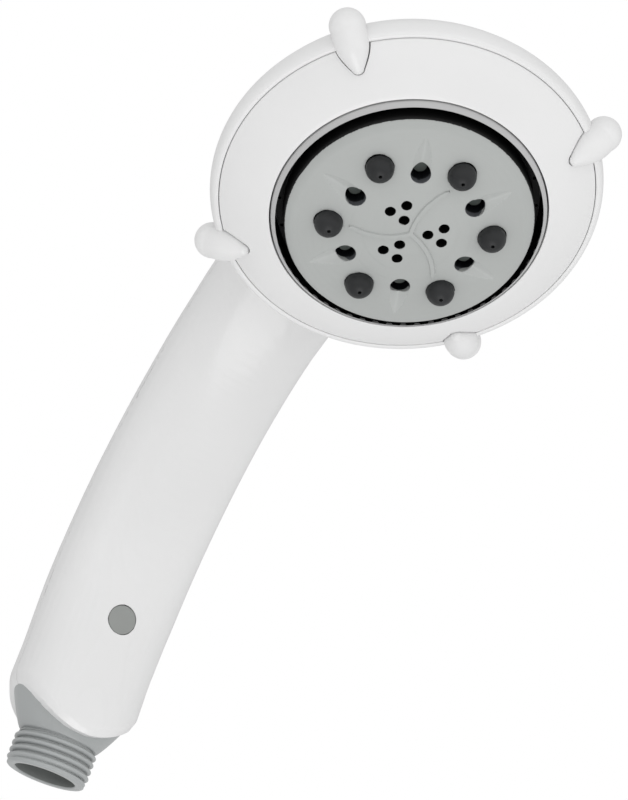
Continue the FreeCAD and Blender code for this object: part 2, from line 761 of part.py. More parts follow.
def nozzle_plate():
    """Domed grey plate with ball sockets, chutes, fine jets and the raised rib."""
    low = PLATE_SEAT_H
    high = PLATE_BACK_H + 0.1
    ribs = rod(RIB_HUB_R, high, THROUGH)
    for angle in rib_angles():
        ribs = ribs.fuse(swirl_rib(angle))
    plate = plate_crown(0).fuse(plate_crown(RIB_RISE).common(ribs))
    plate = plate.cut(rod(PLATE_R - PLATE_SKIRT, low - 1, PLATE_BACK_H))
    plate = plate.fuse(tube(PLATE_WALL_R, PLATE_WALL_R - 1.1, low, high))
    for socket in ring_of(lambda place: rod(SOCKET_R, low, high, place), BALL_CIRCLE_R,
                          ball_angles()):
        plate = plate.fuse(socket)
    for boss in ring_of(lambda place: rod(PLATE_BOSS_R, low, high, place), PLATE_SCREW_CIRCLE_R,
                        rib_angles()):
        plate = plate.fuse(boss)
    for bore in ring_of(lambda place: rod(SOCKET_BORE_R, 0, SOCKET_BORE_TOP, place), BALL_CIRCLE_R,
                        ball_angles()):
        plate = plate.cut(bore)
    for hole in ring_of(lambda place: rod(BALL_HOLE_R, 0, THROUGH, place), BALL_CIRCLE_R,
                        ball_angles()):
        plate = plate.cut(hole)
    for pilot in ring_of(lambda place: rod(SELF_TAP_R, 0, PLATE_PILOT_H, place),
                         PLATE_SCREW_CIRCLE_R, rib_angles()):
        plate = plate.cut(pilot)
    for angle in chute_angles():
        plate = plate.cut(chute(angle))
    for place in jet_places():
        plate = plate.cut(rod(JET_R, 0, THROUGH, place))
    return plate


def ball_nozzle(angle):
    """Hollow nozzle with a flange, a round stem and a ball end with a small orifice."""
    body = Part.makeSphere(BALL_R, Vector(0, 0, BALL_H))
    body = body.common(rod(BALL_R + 1, BALL_H, BALL_H + BALL_R + 1))
    body = body.fuse(rod(BALL_R, PLATE_SEAT_H, BALL_H + 0.01))
    body = body.fuse(rod(BALL_FLANGE_R, PLATE_SEAT_H, BALL_FLANGE_TOP))
    bore = turned([(0, 0), (BALL_BORE_R, 0), (BALL_BORE_R, BALL_H),
                   ((BALL_BORE_R * 0.7, BALL_H + BALL_BORE_R * 0.7), (0, BALL_H + BALL_BORE_R))])
    nozzle = body.cut(bore).cut(rod(ORIFICE_R, BALL_H, THROUGH))
    place = polar(BALL_CIRCLE_R, angle)
    nozzle.translate(Vector(place[0], place[1], 0))
    return nozzle


def chamber_gasket():
    """Rubber sheet under the nozzle plate with an opening for each water way."""
    sheet = rod(GASKET_R, GASKET_BACK_H, PLATE_SEAT_H)
    for hole in water_ways(BALL_BORE_R, 2.2):
        sheet = sheet.cut(hole)
    return sheet


def water_ways(ball_r, chute_r):
    """Openings shared by the gasket and the distributor, and their screw holes."""
    rings = ((ball_r, BALL_CIRCLE_R, ball_angles()), (chute_r, CHUTE_FEED_R, chute_angles()),
             (chute_r, JET_FEED_R, cluster_angles()),
             (SELF_TAP_R + 0.1, PLATE_SCREW_CIRCLE_R, rib_angles()))
    holes = []
    for hole_r, circle_r, angles in rings:
        for angle in angles:
            holes.append(rod(hole_r, -THROUGH, THROUGH, polar(circle_r, angle)))
    return holes


def distributor_plate():
    """Plate that feeds the sprays, with ring walls behind it that part its chambers."""
    plate = rod(DISTRIBUTOR_R, DISTRIBUTOR_BACK_H, GASKET_BACK_H)
    for outer in CHAMBER_WALLS:
        plate = plate.fuse(tube(outer, outer - CHAMBER_WALL, INDEX_FRONT_H + 0.1,
                                DISTRIBUTOR_BACK_H + 0.1))
    for hole in water_ways(1.8, 1.5):
        plate = plate.cut(hole)
    for slot in ring_of(lambda place: rod(OUTER_JET_R, -0.5, THROUGH, place), OUTER_JET_CIRCLE_R,
                        steps_round(OUTER_JETS, 0)):
        plate = plate.cut(slot)
    return plate


def index_plate():
    """Rear plate of the turning front: a port and a detent dimple for each setting."""
    plate = rod(INDEX_R, INDEX_REAR_H, INDEX_FRONT_H)
    plate = plate.fuse(rod(HUB_R, INDEX_REAR_H, POST_TOP_H - 0.1))
    plate = plate.cut(rod(HUB_BORE_R, -THROUGH, THROUGH))
    for stop in SELECTOR_STOPS:
        turn = stop * SELECTOR_STEP
        port = rod(PORT_R, -THROUGH, THROUGH, polar(PORT_CIRCLE_R, HANDLE_SIDE - turn))
        x, y = polar(DETENT_CIRCLE_R, DETENT_SIDE - turn)
        dimple_h = DETENT_H + DETENT_TRAVEL
        dimple = Part.makeSphere(DETENT_R + 0.15, Vector(x, y, dimple_h))
        plate = plate.cut(port).cut(dimple)
    for place in [polar(BOSS_CIRCLE_R, angle) for angle in boss_angles()]:
        plate = plate.cut(rod(SCREW_HOLE_R, -THROUGH, THROUGH, place))
        plate = plate.cut(rod(FACE_SCREW_WELL_R, -THROUGH, FACE_SCREW_SEAT_H, place))
    return plate


def screws(head_r, head_height, length, seat_h, circle_r, angles, flip):
    """A circle of equal screws in the head frame, heads to the front or to the back."""
    found = []
    for angle in angles:
        screw = pan_screw(head_r, head_height, SELF_TAP_R, length, 0.6)
        if flip:
            screw.rotate(Vector(0, 0, 0), Vector(1, 0, 0), 180)
        x, y = polar(circle_r, angle)
        screw.translate(Vector(x, y, seat_h))
        found.append(screw)
    return Part.makeCompound(found)


# ---------------------------------------------------------------- valve inside the head

def valve_body():
    """Fixed plate with the pivot post, the water port, the detent pocket and the tube socket."""
    port = polar(PORT_CIRCLE_R, HANDLE_SIDE)
    detent = polar(DETENT_CIRCLE_R, DETENT_SIDE)
    body = rod(VALVE_R, VALVE_REAR_H, VALVE_FRONT_H)
    body = body.fuse(rod(POST_R, VALVE_REAR_H, POST_TOP_H))
    body = body.fuse(rod(SEAL_BORE_R + 1.7, -20.0, VALVE_FRONT_H, port))
    body = body.fuse(rod(6.0, -30.0, -19.0, port))
    body = body.fuse(rod(DETENT_WALL_R, -20.0, VALVE_FRONT_H, detent))
    socket_in, socket_out = TUBE_SOCKET_OUT
    body = body.fuse(neck_rod(TUBE_SOCKET_R, socket_in, socket_out))
    body = body.cut(rod(SEAL_BORE_R, SEAL_BORE_H, 0, port))
    body = body.cut(rod(WATER_WAY_R, NECK_H, 0, port))
    body = body.cut(Part.makeSphere(WATER_WAY_R, Vector(port[0], port[1], NECK_H)))
    body = body.cut(neck_rod(TUBE_BORE_R, socket_in, THROUGH))
    body = body.cut(neck_rod(TUBE_R + TUBE_PLAY, TUBE_END - 0.1, THROUGH))
    body = body.cut(neck_rod(5.5, UPPER_SEAL_OUT - 1, UPPER_SEAL_OUT + 1))
    body = body.cut(rod(DETENT_R + 0.1, DETENT_FLOOR_H, 0, detent))
    body = body.cut(rod(SELF_TAP_R, -11.0, 0))
    body = body.cut(tube(POST_R + 1, 3.75, PIVOT_SEAL_H - 0.6, PIVOT_SEAL_H + 0.6))
    for place in [polar(VALVE_BOLT_R, angle) for angle in VALVE_BOLT_ANGLES]:
        body = body.cut(rod(SCREW_HOLE_R, -20, 0, place))
        body = body.cut(rod(VALVE_SCREW_WELL_R, VALVE_SCREW_SEAT_H, 0, place))
    return body


def neck_rod(radius, near, far):
    """Cylinder along the neck's axis, between two distances from the axis of the head."""
    return Part.makeCylinder(radius, far - near, Vector(0, -near, NECK_H), Vector(0, -1, 0))


def port_seal():
    """Rubber cup that bears on the back of the index plate round the open port."""
    x, y = polar(PORT_CIRCLE_R, HANDLE_SIDE)
    low = PORT_SEAL_H
    top = INDEX_REAR_H - 0.05
    cup = turned([(3.2, low), (5.55, low), (5.55, top - 0.6), (4.6, top), (3.6, top), (3.2, top - 0.5)])
    cup.translate(Vector(x, y, 0))
    return cup


def port_spring():
    """Spring that presses the port seal forwards."""
    spring = coil_spring(4.6, 0.4, SEAL_BORE_H + 0.1, PORT_SEAL_H - 0.1, 3.0)
    x, y = polar(PORT_CIRCLE_R, HANDLE_SIDE)
    spring.translate(Vector(x, y, 0))
    return spring


def detent_ball():
    """Steel ball, shown pressed back to the face of the index plate."""
    x, y = polar(DETENT_CIRCLE_R, DETENT_SIDE)
    return Part.makeSphere(DETENT_R, Vector(x, y, DETENT_H))


def detent_spring():
    """Spring behind the detent ball."""
    spring = coil_spring(1.45, 0.4, DETENT_FLOOR_H + 0.1, DETENT_H - DETENT_R - 0.1, 4.0)
    x, y = polar(DETENT_CIRCLE_R, DETENT_SIDE)
    spring.translate(Vector(x, y, 0))
    return spring


def upper_tube_seal():
    """Round seal of the water tube in the socket of the valve body."""
    seal = o_ring(4.77, 0.68, 0)
    seal.rotate(Vector(0, 0, 0), Vector(1, 0, 0), 90)
    seal.translate(Vector(0, -UPPER_SEAL_OUT, NECK_H))
    return seal


def main():
    os.makedirs("parts", exist_ok=True)
    front, rear = handle_shells()
    save("handle_front_shell", front)
    save("handle_rear_shell", rear)
    save("inlet_connector", inlet_connector())
    save("flow_restrictor", flow_restrictor())
    save("restrictor_seal", o_ring(5.95, 0.6, 20.75))
    save("water_tube", water_tube())
    save("tube_seal_lower", o_ring(*LOWER_SEAL))
    save("tube_seal_upper", upper_tube_seal(), True)
    save("screw_cover", screw_cover())
    save("connector_screw", connector_screw())

    save("valve_body", valve_body(), True)
    save("valve_screws", screws(2.6, 1.2, 7.5, VALVE_SCREW_SEAT_H, VALVE_BOLT_R,
                                VALVE_BOLT_ANGLES, False), True)
    save("port_seal", port_seal(), True)
    save("port_spring", port_spring(), True)
    save("pivot_seal", o_ring(4.4, 0.55, PIVOT_SEAL_H), True)
    save("pivot_washer", tube(7.5, 1.4, POST_TOP_H, POST_TOP_H + 0.8), True)
    pivot_screw = pan_screw(3.4, 1.9, SELF_TAP_R, 8.0)
    pivot_screw.translate(Vector(0, 0, POST_TOP_H + 0.8))
    save("pivot_screw", pivot_screw, True)
    save("detent_ball", detent_ball(), True)
    save("detent_spring", detent_spring(), True)

    save("grip_ring", grip_ring(), True)
    save("face_plate", face_plate(), True)
    save("serrated_ring", serrated_ring(), True)
    save("nozzle_plate", nozzle_plate(), True)
    for number, angle in enumerate(ball_angles(), 1):
        save("ball_nozzle_%d" % number, ball_nozzle(angle), True)
    save("chamber_gasket", chamber_gasket(), True)
    save("distributor_plate", distributor_plate(), True)
    save("chamber_screws", screws(2.2, 1.4, 11.0, DISTRIBUTOR_BACK_H, PLATE_SCREW_CIRCLE_R,
                                  rib_angles(), True), True)
    save("index_plate", index_plate(), True)
    save("face_screws", screws(2.4, 1.0, 7.2, FACE_SCREW_SEAT_H, BOSS_CIRCLE_R, boss_angles(),
                               True), True)


main()
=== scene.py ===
import json
import math

import bmesh
import bpy
import numpy as np
from mathutils import Matrix, Vector


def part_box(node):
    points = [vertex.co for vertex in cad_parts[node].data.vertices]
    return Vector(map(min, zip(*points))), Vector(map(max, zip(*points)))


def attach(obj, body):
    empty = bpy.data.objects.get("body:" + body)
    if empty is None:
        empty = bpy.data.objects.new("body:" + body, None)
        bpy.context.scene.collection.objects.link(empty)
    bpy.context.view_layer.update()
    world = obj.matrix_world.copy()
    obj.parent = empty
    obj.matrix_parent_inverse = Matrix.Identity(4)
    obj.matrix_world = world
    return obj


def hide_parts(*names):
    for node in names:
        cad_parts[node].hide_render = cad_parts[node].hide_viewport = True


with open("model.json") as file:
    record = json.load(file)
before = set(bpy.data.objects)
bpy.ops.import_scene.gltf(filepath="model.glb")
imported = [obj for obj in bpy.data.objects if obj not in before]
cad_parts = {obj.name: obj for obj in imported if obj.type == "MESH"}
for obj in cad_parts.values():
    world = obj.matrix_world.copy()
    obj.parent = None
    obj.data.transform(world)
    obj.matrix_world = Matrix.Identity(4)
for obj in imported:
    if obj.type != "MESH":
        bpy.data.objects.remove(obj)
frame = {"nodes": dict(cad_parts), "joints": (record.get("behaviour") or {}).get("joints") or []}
for name in ("Cube", "Light", "Camera"):
    if name in bpy.data.objects:
        bpy.data.objects.remove(bpy.data.objects[name])
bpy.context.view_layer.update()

# Handheld shower head. Shapes are worked out in millimetres and become metres in add_piece().
# World frame: origin at the middle of the inlet's open end, +Z up its axis, -Y the spraying side.
# Head frame: x is the world X, h the way the water leaves, y away from the handle.
MM = 0.001
SELECTOR = next(j for j in frame["joints"] if j["name"] == "spray_selector")
SPRAY = Vector(SELECTOR["axis"]).normalized()
SEAM_CENTRE = Vector(SELECTOR["pos_m"]) / MM
AWAY = SPRAY.cross(Vector((1, 0, 0)))
HEAD = Matrix.Translation(SEAM_CENTRE) @ Matrix((
    (1, AWAY.x, SPRAY.x, 0), (0, AWAY.y, SPRAY.y, 0), (0, AWAY.z, SPRAY.z, 0), (0, 0, 0, 1)))
TILT = math.acos(AWAY.z)
WORLD = Matrix.Identity(4)

# Handle
SPINE_STRAIGHT = 34.0
ARC_1_RADIUS = 150.0
ARC_1_TURN = math.radians(30.0)
ARC_2_RADIUS = 100.0
SQUARENESS = 2.25
WALL = 2.2
# distance along the spine, half width and half depth
HANDLE_SIZES = ((6.0, 16.6, 13.8), (13.0, 16.8, 13.9), (20.0, 16.7, 13.6), (30.0, 16.5, 13.0),
                (48.0, 17.0, 12.5), (75.0, 17.05, 11.9), (102.0, 16.95, 11.3), (125.0, 17.15, 10.8),
                (147.0, 17.9, 10.3), (165.0, 17.8, 9.6), (185.0, 14.5, 7.6))
HANDLE_END = 178.0
HANDLE_END_ROUND = 5.0
TABLE_LOW, TABLE_HIGH, TABLE_ROWS = -20.0, 210.0, 461
SMOOTHED_ROWS = 25
HANDLE_STEP = 0.8
WAVE_LOW = 11.0
WAVE_HIGH = 19.35
WAVE_SPAN = 16.0
BEVEL_BAND = 1.8
BEVEL_DEPTH = 1.05
BEVEL_ROUND = 0.25
EDGE_SLOPE = 0.8  # distance from the wavy edge for each millimetre above it
LIP_EXTRA = 1.4
LIP_BANDS = 1.6  # height of the hidden lip, in bevel bands
PARTING_GAP = 0.14
COVER_Z = 41.0
COVER_R = 3.65
COVER_GAP = 0.12
COVER_WELL_Y = -8.6

# Dome
DOME_R = 39.6
DOME_DEPTH = 26.0
DOME_SHOULDER_R = 18.0
DOME_H = -8.4
DOME_RIM_H = -7.6
NECK_BLEND = 9.0
SWEEP_R = 55.0
SWEEP_H = -9.1

# Head
SEAM_R = 44.75
COLLAR_LOW_H = -4.4
CONE_INNER = (33.5, 8.0)
CONE_OUTER = (44.45, 0.15)
CONE_BULGE = 0.62
FACE_BORE_R = 33.12
FACE_COLLAR_R = 35.3
FACE_RIM_R = 42.5
FACE_LOW_H = -7.1
GRIP_BORE_R = 44.9
GRIP_LOW_H = -8.6
SKIRT_R = 40.2
SKIRT_H = -7.2
BAND_CENTRE = (41.3, -3.08)
BAND_R = 5.6
LUG_ANGLES = [50.6 + 90.0 * k for k in range(4)]
LUG_BALL = (48.6, -3.2)
LUG_TIP = (41.2, 3.9)
LUG_BALL_R = 4.35
LUG_TIP_R = 1.5
LUG_FULLNESS = 1.0
LUG_GAP = 0.28
PATTERN_ANGLE = 25.5
PLATE_STEP = 0.33
PLATE_R = 29.77
PLATE_TOP_H = 15.4
PLATE_BACK_H = 5.0
PLATE_EDGE_R = 2.2
# height below which the plate's side wall is painted black as shade
PLATE_SHADE_PAINT_H = 10.8
CROWN_R = 127.0
FAR_INSIDE = -9.0
HOLE_MARGIN = 0.06
BALL_CIRCLE_R = 19.5
BALL_HOLE_R = 3.45
BALL_R = 3.38
BALL_H = 14.4
BALL_LOW_TURN = -1.2
BALL_MOUTH_TURN = math.pi / 2 - 0.17
BALL_HOLE_LOW_H = 8.0
BALL_HOLE_EDGE = 0.2
BALL_SHADE_PAINT_DEPTH = 0.2
ORIFICE_R = 0.38
CHUTE_CIRCLE_R = 16.4
CHUTE_R = 2.4
CHUTE_LOW_H = 8.3
CHUTE_REACH = 9.4
CHUTE_HALF_WIDTH = 2.25
CHUTE_DEPTH = 1.5
CHUTE_START = -0.3
CHUTE_TAPER = 2.4
CHUTE_FALL = 0.8
CHUTE_ROUNDNESS = 1.4
CHUTE_EDGE = 0.06
CHUTE_TINT_DEPTH = 0.05
WELL_EDGE = 0.18
WELL_SHADE_PAINT_DEPTH = 0.16
WELL_WALL_R = 1.7
WELL_WALL_DEPTH = 1.7
WELL_MARGIN = 0.05
POST_R = 1.55
POST_TOP_H = 10.9
POST_FOOT = 0.3
POST_HEAD = 0.1
POST_MARGIN = 0.07
JET_R = 1.3
JET_LOW_H = 9.0
JET_EDGE = 0.15
JET_SHADE_PAINT_DEPTH = 0.14
JET_CLUSTER_R = 6.5
JET_SPREAD = 2.4
RIB_WIDTH = 1.4
RIB_RISE = 0.45
RIB_FLATNESS = 1.7
RIB_END, RIB_TAPER = 1.02, 0.08  # as shares of an arm's length
RIB_REACH = 14.3
RIB_BOW_R = 8.1
RIB_BOW_TURN = math.radians(11.0)
RING_R = 32.75
RING_WALL_R = 32.25
RING_BORE_R = 31.75
TEETH = 60
TOOTH_SHARPNESS = 2.2
TOOTH_LOW_H = 8.4
TOOTH_TOP_H = 8.6
LIP_INNER_H = 9.3
LIP_OUTER_H = 8.1

# Inlet
PIPE_MAJOR_R = 20.955 / 2
PIPE_MINOR_R = 18.631 / 2
PIPE_PITCH = 1.814
THREAD_PHASE = 0.55
THREAD_START_Z, THREAD_START_RUN = 0.9, 0.9
THREAD_END_Z, THREAD_END_RUN = 9.0, 0.7
THREAD_TOP_Z = 9.2
BEAD_SHARE = 0.41
BEAD_FLATNESS = 2.4
BEAD_FULLNESS = 0.8
MOUTH_RING_R = PIPE_MAJOR_R - 0.45
MOUTH_R = 7.8
BOWL_LOW_R = 9.8
BOWL_HALF_WIDTH = 15.6
BOWL_HALF_DEPTH = 12.4
BOWL_RISE = 10.5
BOWL_EASE = 0.8
BOWL_TUCK = 0.03  # share of the width lost for each millimetre above the next height
BOWL_TUCK_Z = 20.0
BOWL_TOP_Z = 26.0

# Studio
WORLD_LIGHT = 1.12
SKY_AXIS = Vector((-0.30, -0.90, -0.55))
SKY_LOW = 0.55
SKY_FULL_AT = 0.85
FLOOR_HALF = 12.0
FLOOR_Z = -0.9
LENS = 225.0
CAMERA_PLACE = (-0.42653, -1.13277, -0.24303)
CAMERA_RIGHT = Vector((0.8341, -0.4430, 0.3286))
CAMERA_BACK = Vector((-0.3605, -0.8887, -0.2832))


# ------------------------------------------------------------------------------- mesh helpers

def add_piece(name, points, faces, place=WORLD, sharp=35.0):
    """Mesh object in metres, with outward faces and smooth shading up to the sharp angle."""
    mesh = bpy.data.meshes.new(name)
    mesh.from_pydata(np.asarray(points, float).tolist(), [], [list(f) for f in faces])
    mesh.transform(Matrix.Scale(MM, 4) @ place)
    mesh.validate()
    piece = bpy.data.objects.new(name, mesh)
    bpy.context.scene.collection.objects.link(piece)
    tidy_mesh(mesh)
    shade(mesh, sharp)
    return piece


def tidy_mesh(mesh):
    """Merges doubled points and turns every face outwards."""
    work = bmesh.new()
    work.from_mesh(mesh)
    bmesh.ops.remove_doubles(work, verts=work.verts, dist=2e-6)
    bmesh.ops.dissolve_degenerate(work, edges=work.edges, dist=1e-7)
    bmesh.ops.recalc_face_normals(work, faces=work.faces)
    work.to_mesh(mesh)
    work.free()


def shade(mesh, sharp):
    mesh.shade_smooth()
    mesh.set_sharp_from_angle(angle=math.radians(sharp))


def carve(piece, cutters, operation="DIFFERENCE", sharp=35.0):
    """Boolean of a piece with throw-away cutters, applied to its mesh."""
    for cutter in cutters:
        step = piece.modifiers.new("carve", "BOOLEAN")
        step.operation = operation
        step.solver = "EXACT"
        step.object = cutter
    bpy.context.view_layer.update()
    graph = bpy.context.evaluated_depsgraph_get()
    mesh = bpy.data.meshes.new_from_object(piece.evaluated_get(graph))
    piece.modifiers.clear()
    piece.data = mesh
    for cutter in cutters:
        bpy.data.objects.remove(cutter)
    shade(mesh, sharp)


def soften(corners, steps=5):
    """Closed profile from (r, h, fillet) corners, each fillet drawn as a short curve."""
    points = []
    count = len(corners)
    for k, (r, h, fillet) in enumerate(corners):
        here = np.array((r, h))
        if fillet <= 0:
            points.append(here)
            continue
        before = np.array(corners[k - 1][:2]) - here
        after = np.array(corners[(k + 1) % count][:2]) - here
        back = before / np.linalg.norm(before) * min(fillet, 0.48 * np.linalg.norm(before))
        on = after / np.linalg.norm(after) * min(fillet, 0.48 * np.linalg.norm(after))
        for t in np.linspace(0, 1, steps + 1):
            points.append(here + back * (1 - t) ** 2 + on * t ** 2)
    return np.array(points)


def arc(centre, radius, start, stop, count):
    """Points of a circle in the (r, h) plane, angles in degrees, as unfilleted corners."""
    turns = np.radians(np.linspace(start, stop, count))
    return [(centre[0] + radius * math.cos(t), centre[1] + radius * math.sin(t), 0)
            for t in turns]


def lathe(profile, count=192, radius_at=None):
    """Points and faces of a closed (r, h) profile turned about h. radius_at may change r."""
    turns = np.linspace(0, 2 * math.pi, count, endpoint=False)
    r = np.repeat(profile[None, :, 0], count, 0)
    h = np.repeat(profile[None, :, 1], count, 0)
    angle = np.repeat(turns[:, None], len(profile), 1)
    if radius_at:
        r = radius_at(r, h, angle)
    points = np.stack((r * np.cos(angle), r * np.sin(angle), h), -1).reshape(-1, 3)
    return points, grid_faces(count, len(profile), True, True)


def grid_faces(rows, columns, wrap_rows, wrap_columns):
    """Quads of a grid of points numbered row by row."""
    row = np.arange(rows if wrap_rows else rows - 1)
    column = np.arange(columns if wrap_columns else columns - 1)
    i, j = np.meshgrid(row, column, indexing="ij")
    i2, j2 = (i + 1) % rows, (j + 1) % columns
    quads = np.stack((i * columns + j, i2 * columns + j, i2 * columns + j2, i * columns + j2), -1)
    return quads.reshape(-1, 4)


def turned_about_h(points, degrees):
    """Points of the head frame turned about its axis."""
    c, s = math.cos(math.radians(degrees)), math.sin(math.radians(degrees))
    return points @ np.array(((c, s, 0), (-s, c, 0), (0, 0, 1)))


# --------------------------------------------------------------------------- implicit surfaces

def blend_min(a, b, reach):
    """Lower of two fields, rounded over where they meet."""
    return np.minimum(a, b) - np.maximum(reach - np.abs(a - b), 0) ** 2 / (4 * reach)


def blend_max(a, b, reach):
    return -blend_min(-a, -b, reach)


def round_max(a, b, radius):
    """Higher of two fields with a circular edge where they meet."""
    outside = np.hypot(np.maximum(a + radius, 0), np.maximum(b + radius, 0))
    return outside + np.minimum(np.maximum(a, b) + radius, 0) - radius


def gradient(field, points, reach=0.02):
    """Unit normals of a field by central differences."""
    parts = []
    for axis in np.eye(3) * reach:
        parts.append(field(points + axis) - field(points - axis))
    slope = np.stack(parts, -1)
    return slope / np.maximum(np.linalg.norm(slope, axis=-1, keepdims=True), 1e-9)


def contour(field, low, high, step):
    """Dual contouring: quads on the zero surface of a field, which keep its sharp edges."""
    axes = [np.arange(a, b + step, step) for a, b in zip(low, high)]
    grid = np.stack(np.meshgrid(*axes, indexing="ij"), -1)
    values = np.empty(grid.shape[:3])
    for layer in range(len(axes[0])):
        values[layer] = field(grid[layer])
    values[values == 0] = 1e-9
    shape = np.array(values.shape)
    strides = np.array((shape[1] * shape[2], shape[2], 1))
    flat = values.ravel()
    starts, cells = [], []
    for axis in range(3):
        window = [slice(None)] * 3
        window[axis] = slice(0, -1)
        index = np.arange(flat.size).reshape(values.shape)[tuple(window)].ravel()
        crossing = index[(flat[index] < 0) != (flat[index + strides[axis]] < 0)]
        place = np.stack(np.unravel_index(crossing, values.shape), -1)
        b, c = [k for k in range(3) if k != axis]
        inner = ((place[:, b] > 0) & (place[:, c] > 0)
                 & (place[:, b] < shape[b] - 1) & (place[:, c] < shape[c] - 1))
        crossing = crossing[inner]
        place = place[inner]
        first, second = flat[crossing], flat[crossing + strides[axis]]
        near = np.array(low) + place * step
        along = np.eye(3)[axis] * step
        share = (first / (first - second))[:, None]
        lo_t, hi_t = np.zeros_like(share), np.ones_like(share)
        for _ in range(3):
            middle = field(near + along * share)[:, None]
            same = (middle < 0) == (first[:, None] < 0)
            lo_t, hi_t = np.where(same, share, lo_t), np.where(same, hi_t, share)
            share = (lo_t + hi_t) / 2
        starts.append(near + along * share)
        around = np.stack([crossing, crossing - strides[b], crossing - strides[b] - strides[c],
                           crossing - strides[c]], -1)
        flip = (first < 0) != (axis == 1)
        around[flip] = around[flip][:, ::-1]
        cells.append(around)
    points = np.vstack(starts)
    owner = np.vstack(cells)
    normals = gradient(field, points)
    used, number = np.unique(owner.ravel(), return_inverse=True)
    number = number.reshape(owner.shape)
    count = np.bincount(number.ravel(), minlength=len(used))
    middle = np.stack([np.bincount(number.ravel(), np.repeat(points[:, k], 4), len(used))
                       for k in range(3)], -1) / count[:, None]
    matrix = np.zeros((len(used), 3, 3))
    side = np.zeros((len(used), 3))
    each_n = np.repeat(normals, 4, 0)
    each_p = np.repeat(points, 4, 0)
    offset = (each_n * (each_p - middle[number.ravel()])).sum(-1)
    for a in range(3):
        side[:, a] = np.bincount(number.ravel(), each_n[:, a] * offset, len(used))
        for b in range(3):
            matrix[:, a, b] = np.bincount(number.ravel(), each_n[:, a] * each_n[:, b], len(used))
    matrix += np.eye(3) * 0.04      # holds a point back where its cell's surface is flat
    moved = np.linalg.solve(matrix, side[:, :, None])[:, :, 0]
    moved = np.clip(moved, -0.9 * step, 0.9 * step)
    return middle + moved, number


# --------------------------------------------------------------------------------- materials

def material(name, colour, roughness, grain=0.0, grain_size=900.0, variation=0.03, coat=0.0,
             specular=0.5, metallic=0.0):
    """Moulded plastic, rubber or metal: slight colour and gloss variation with a fine grain."""
    made = bpy.data.materials.new(name)
    made.use_nodes = True
    nodes, links = made.node_tree.nodes, made.node_tree.links
    shader = nodes["Principled BSDF"]
    shader.inputs["Metallic"].default_value = metallic
    shader.inputs["Specular IOR Level"].default_value = specular
    shader.inputs["Coat Weight"].default_value = coat
    shader.inputs["Coat Roughness"].default_value = 0.12
    where = nodes.new("ShaderNodeTexCoord")
    cloud = nodes.new("ShaderNodeTexNoise")
    cloud.inputs["Scale"].default_value = 38.0
    cloud.inputs["Detail"].default_value = 5.0
    links.new(where.outputs["Object"], cloud.inputs["Vector"])
    tone = nodes.new("ShaderNodeValToRGB")
    low = [c * (1 - variation) for c in colour]
    high = [min(c * (1 + variation), 1) for c in colour]
    tone.color_ramp.elements[0].position = 0.3
    tone.color_ramp.elements[0].color = (*low, 1)
    tone.color_ramp.elements[1].position = 0.7
    tone.color_ramp.elements[1].color = (*high, 1)
    links.new(cloud.outputs["Fac"], tone.inputs["Fac"])
    links.new(tone.outputs["Color"], shader.inputs["Base Color"])
    polish = nodes.new("ShaderNodeMapRange")
    polish.inputs["To Min"].default_value = roughness * 0.85
    polish.inputs["To Max"].default_value = roughness * 1.15
    links.new(cloud.outputs["Fac"], polish.inputs["Value"])
    links.new(polish.outputs["Result"], shader.inputs["Roughness"])
    if grain:
        fine = nodes.new("ShaderNodeTexNoise")
        fine.inputs["Scale"].default_value = grain_size
        fine.inputs["Detail"].default_value = 3.0
        links.new(where.outputs["Object"], fine.inputs["Vector"])
        bump = nodes.new("ShaderNodeBump")
        bump.inputs["Strength"].default_value = grain
        bump.inputs["Distance"].default_value = 0.00006
        links.new(fine.outputs["Fac"], bump.inputs["Height"])
        links.new(bump.outputs["Normal"], shader.inputs["Normal"])
    return made


WHITE = material("white_gloss_plastic", (0.745, 0.745, 0.745), 0.30, 0.10, 1400.0, 0.012, 0.25)
FACE_WHITE = material("white_face_plastic", (0.80, 0.80, 0.80), 0.33, 0.10, 1400.0, 0.012, 0.2)
PLATE_GREY = material("grey_nozzle_plastic", (0.42, 0.435, 0.425), 0.48, 0.35, 1600.0, 0.03)
CHUTE_GREY = material("grey_chute_plastic", (0.465, 0.48, 0.47), 0.45, 0.3, 1600.0, 0.02)
RING_GREY = material("light_grey_plastic", (0.48, 0.48, 0.48), 0.4, 0.2, 1500.0, 0.03)
COVER_GREY = material("cover_grey_plastic", (0.27, 0.28, 0.27), 0.45, 0.35, 1500.0, 0.04)
INLET_GREY = material("inlet_grey_plastic", (0.36, 0.375, 0.375), 0.34, 0.2, 1300.0, 0.04, 0.1)
# Darker grey inside the inlet's bore: painted shade in the recess
INLET_BORE_SHADE = material("inlet_bore_painted_shade", (0.16, 0.17, 0.165), 0.6, 0.2, 1300.0, 0.06)
# Black of the inner core; the same black is painted shade on the plate's side wall, in the ball
# holes and jets, and on the ring's inner wall
CORE_BLACK_AND_PAINTED_SHADE = material("black_core_and_painted_shade", (0.006, 0.006, 0.006), 0.5, 0.2, 1200.0, 0.2,
                      specular=0.2)
# Near-black painted shade deep in the chute wells
PAINTED_SHADE_DEEP = material("painted_shade_passage", (0.010, 0.011, 0.013), 0.35, 0.15, 1500.0, 0.2,
                     specular=0.4)
BALL_DARK = material("dark_ball_plastic", (0.018, 0.019, 0.020), 0.45, 0.6, 1100.0, 0.3, 0.0,
                     specular=0.3)
WALL_GREY = material("shaded_passage_plastic", (0.10, 0.105, 0.115), 0.5, 0.15, 1500.0, 0.1)
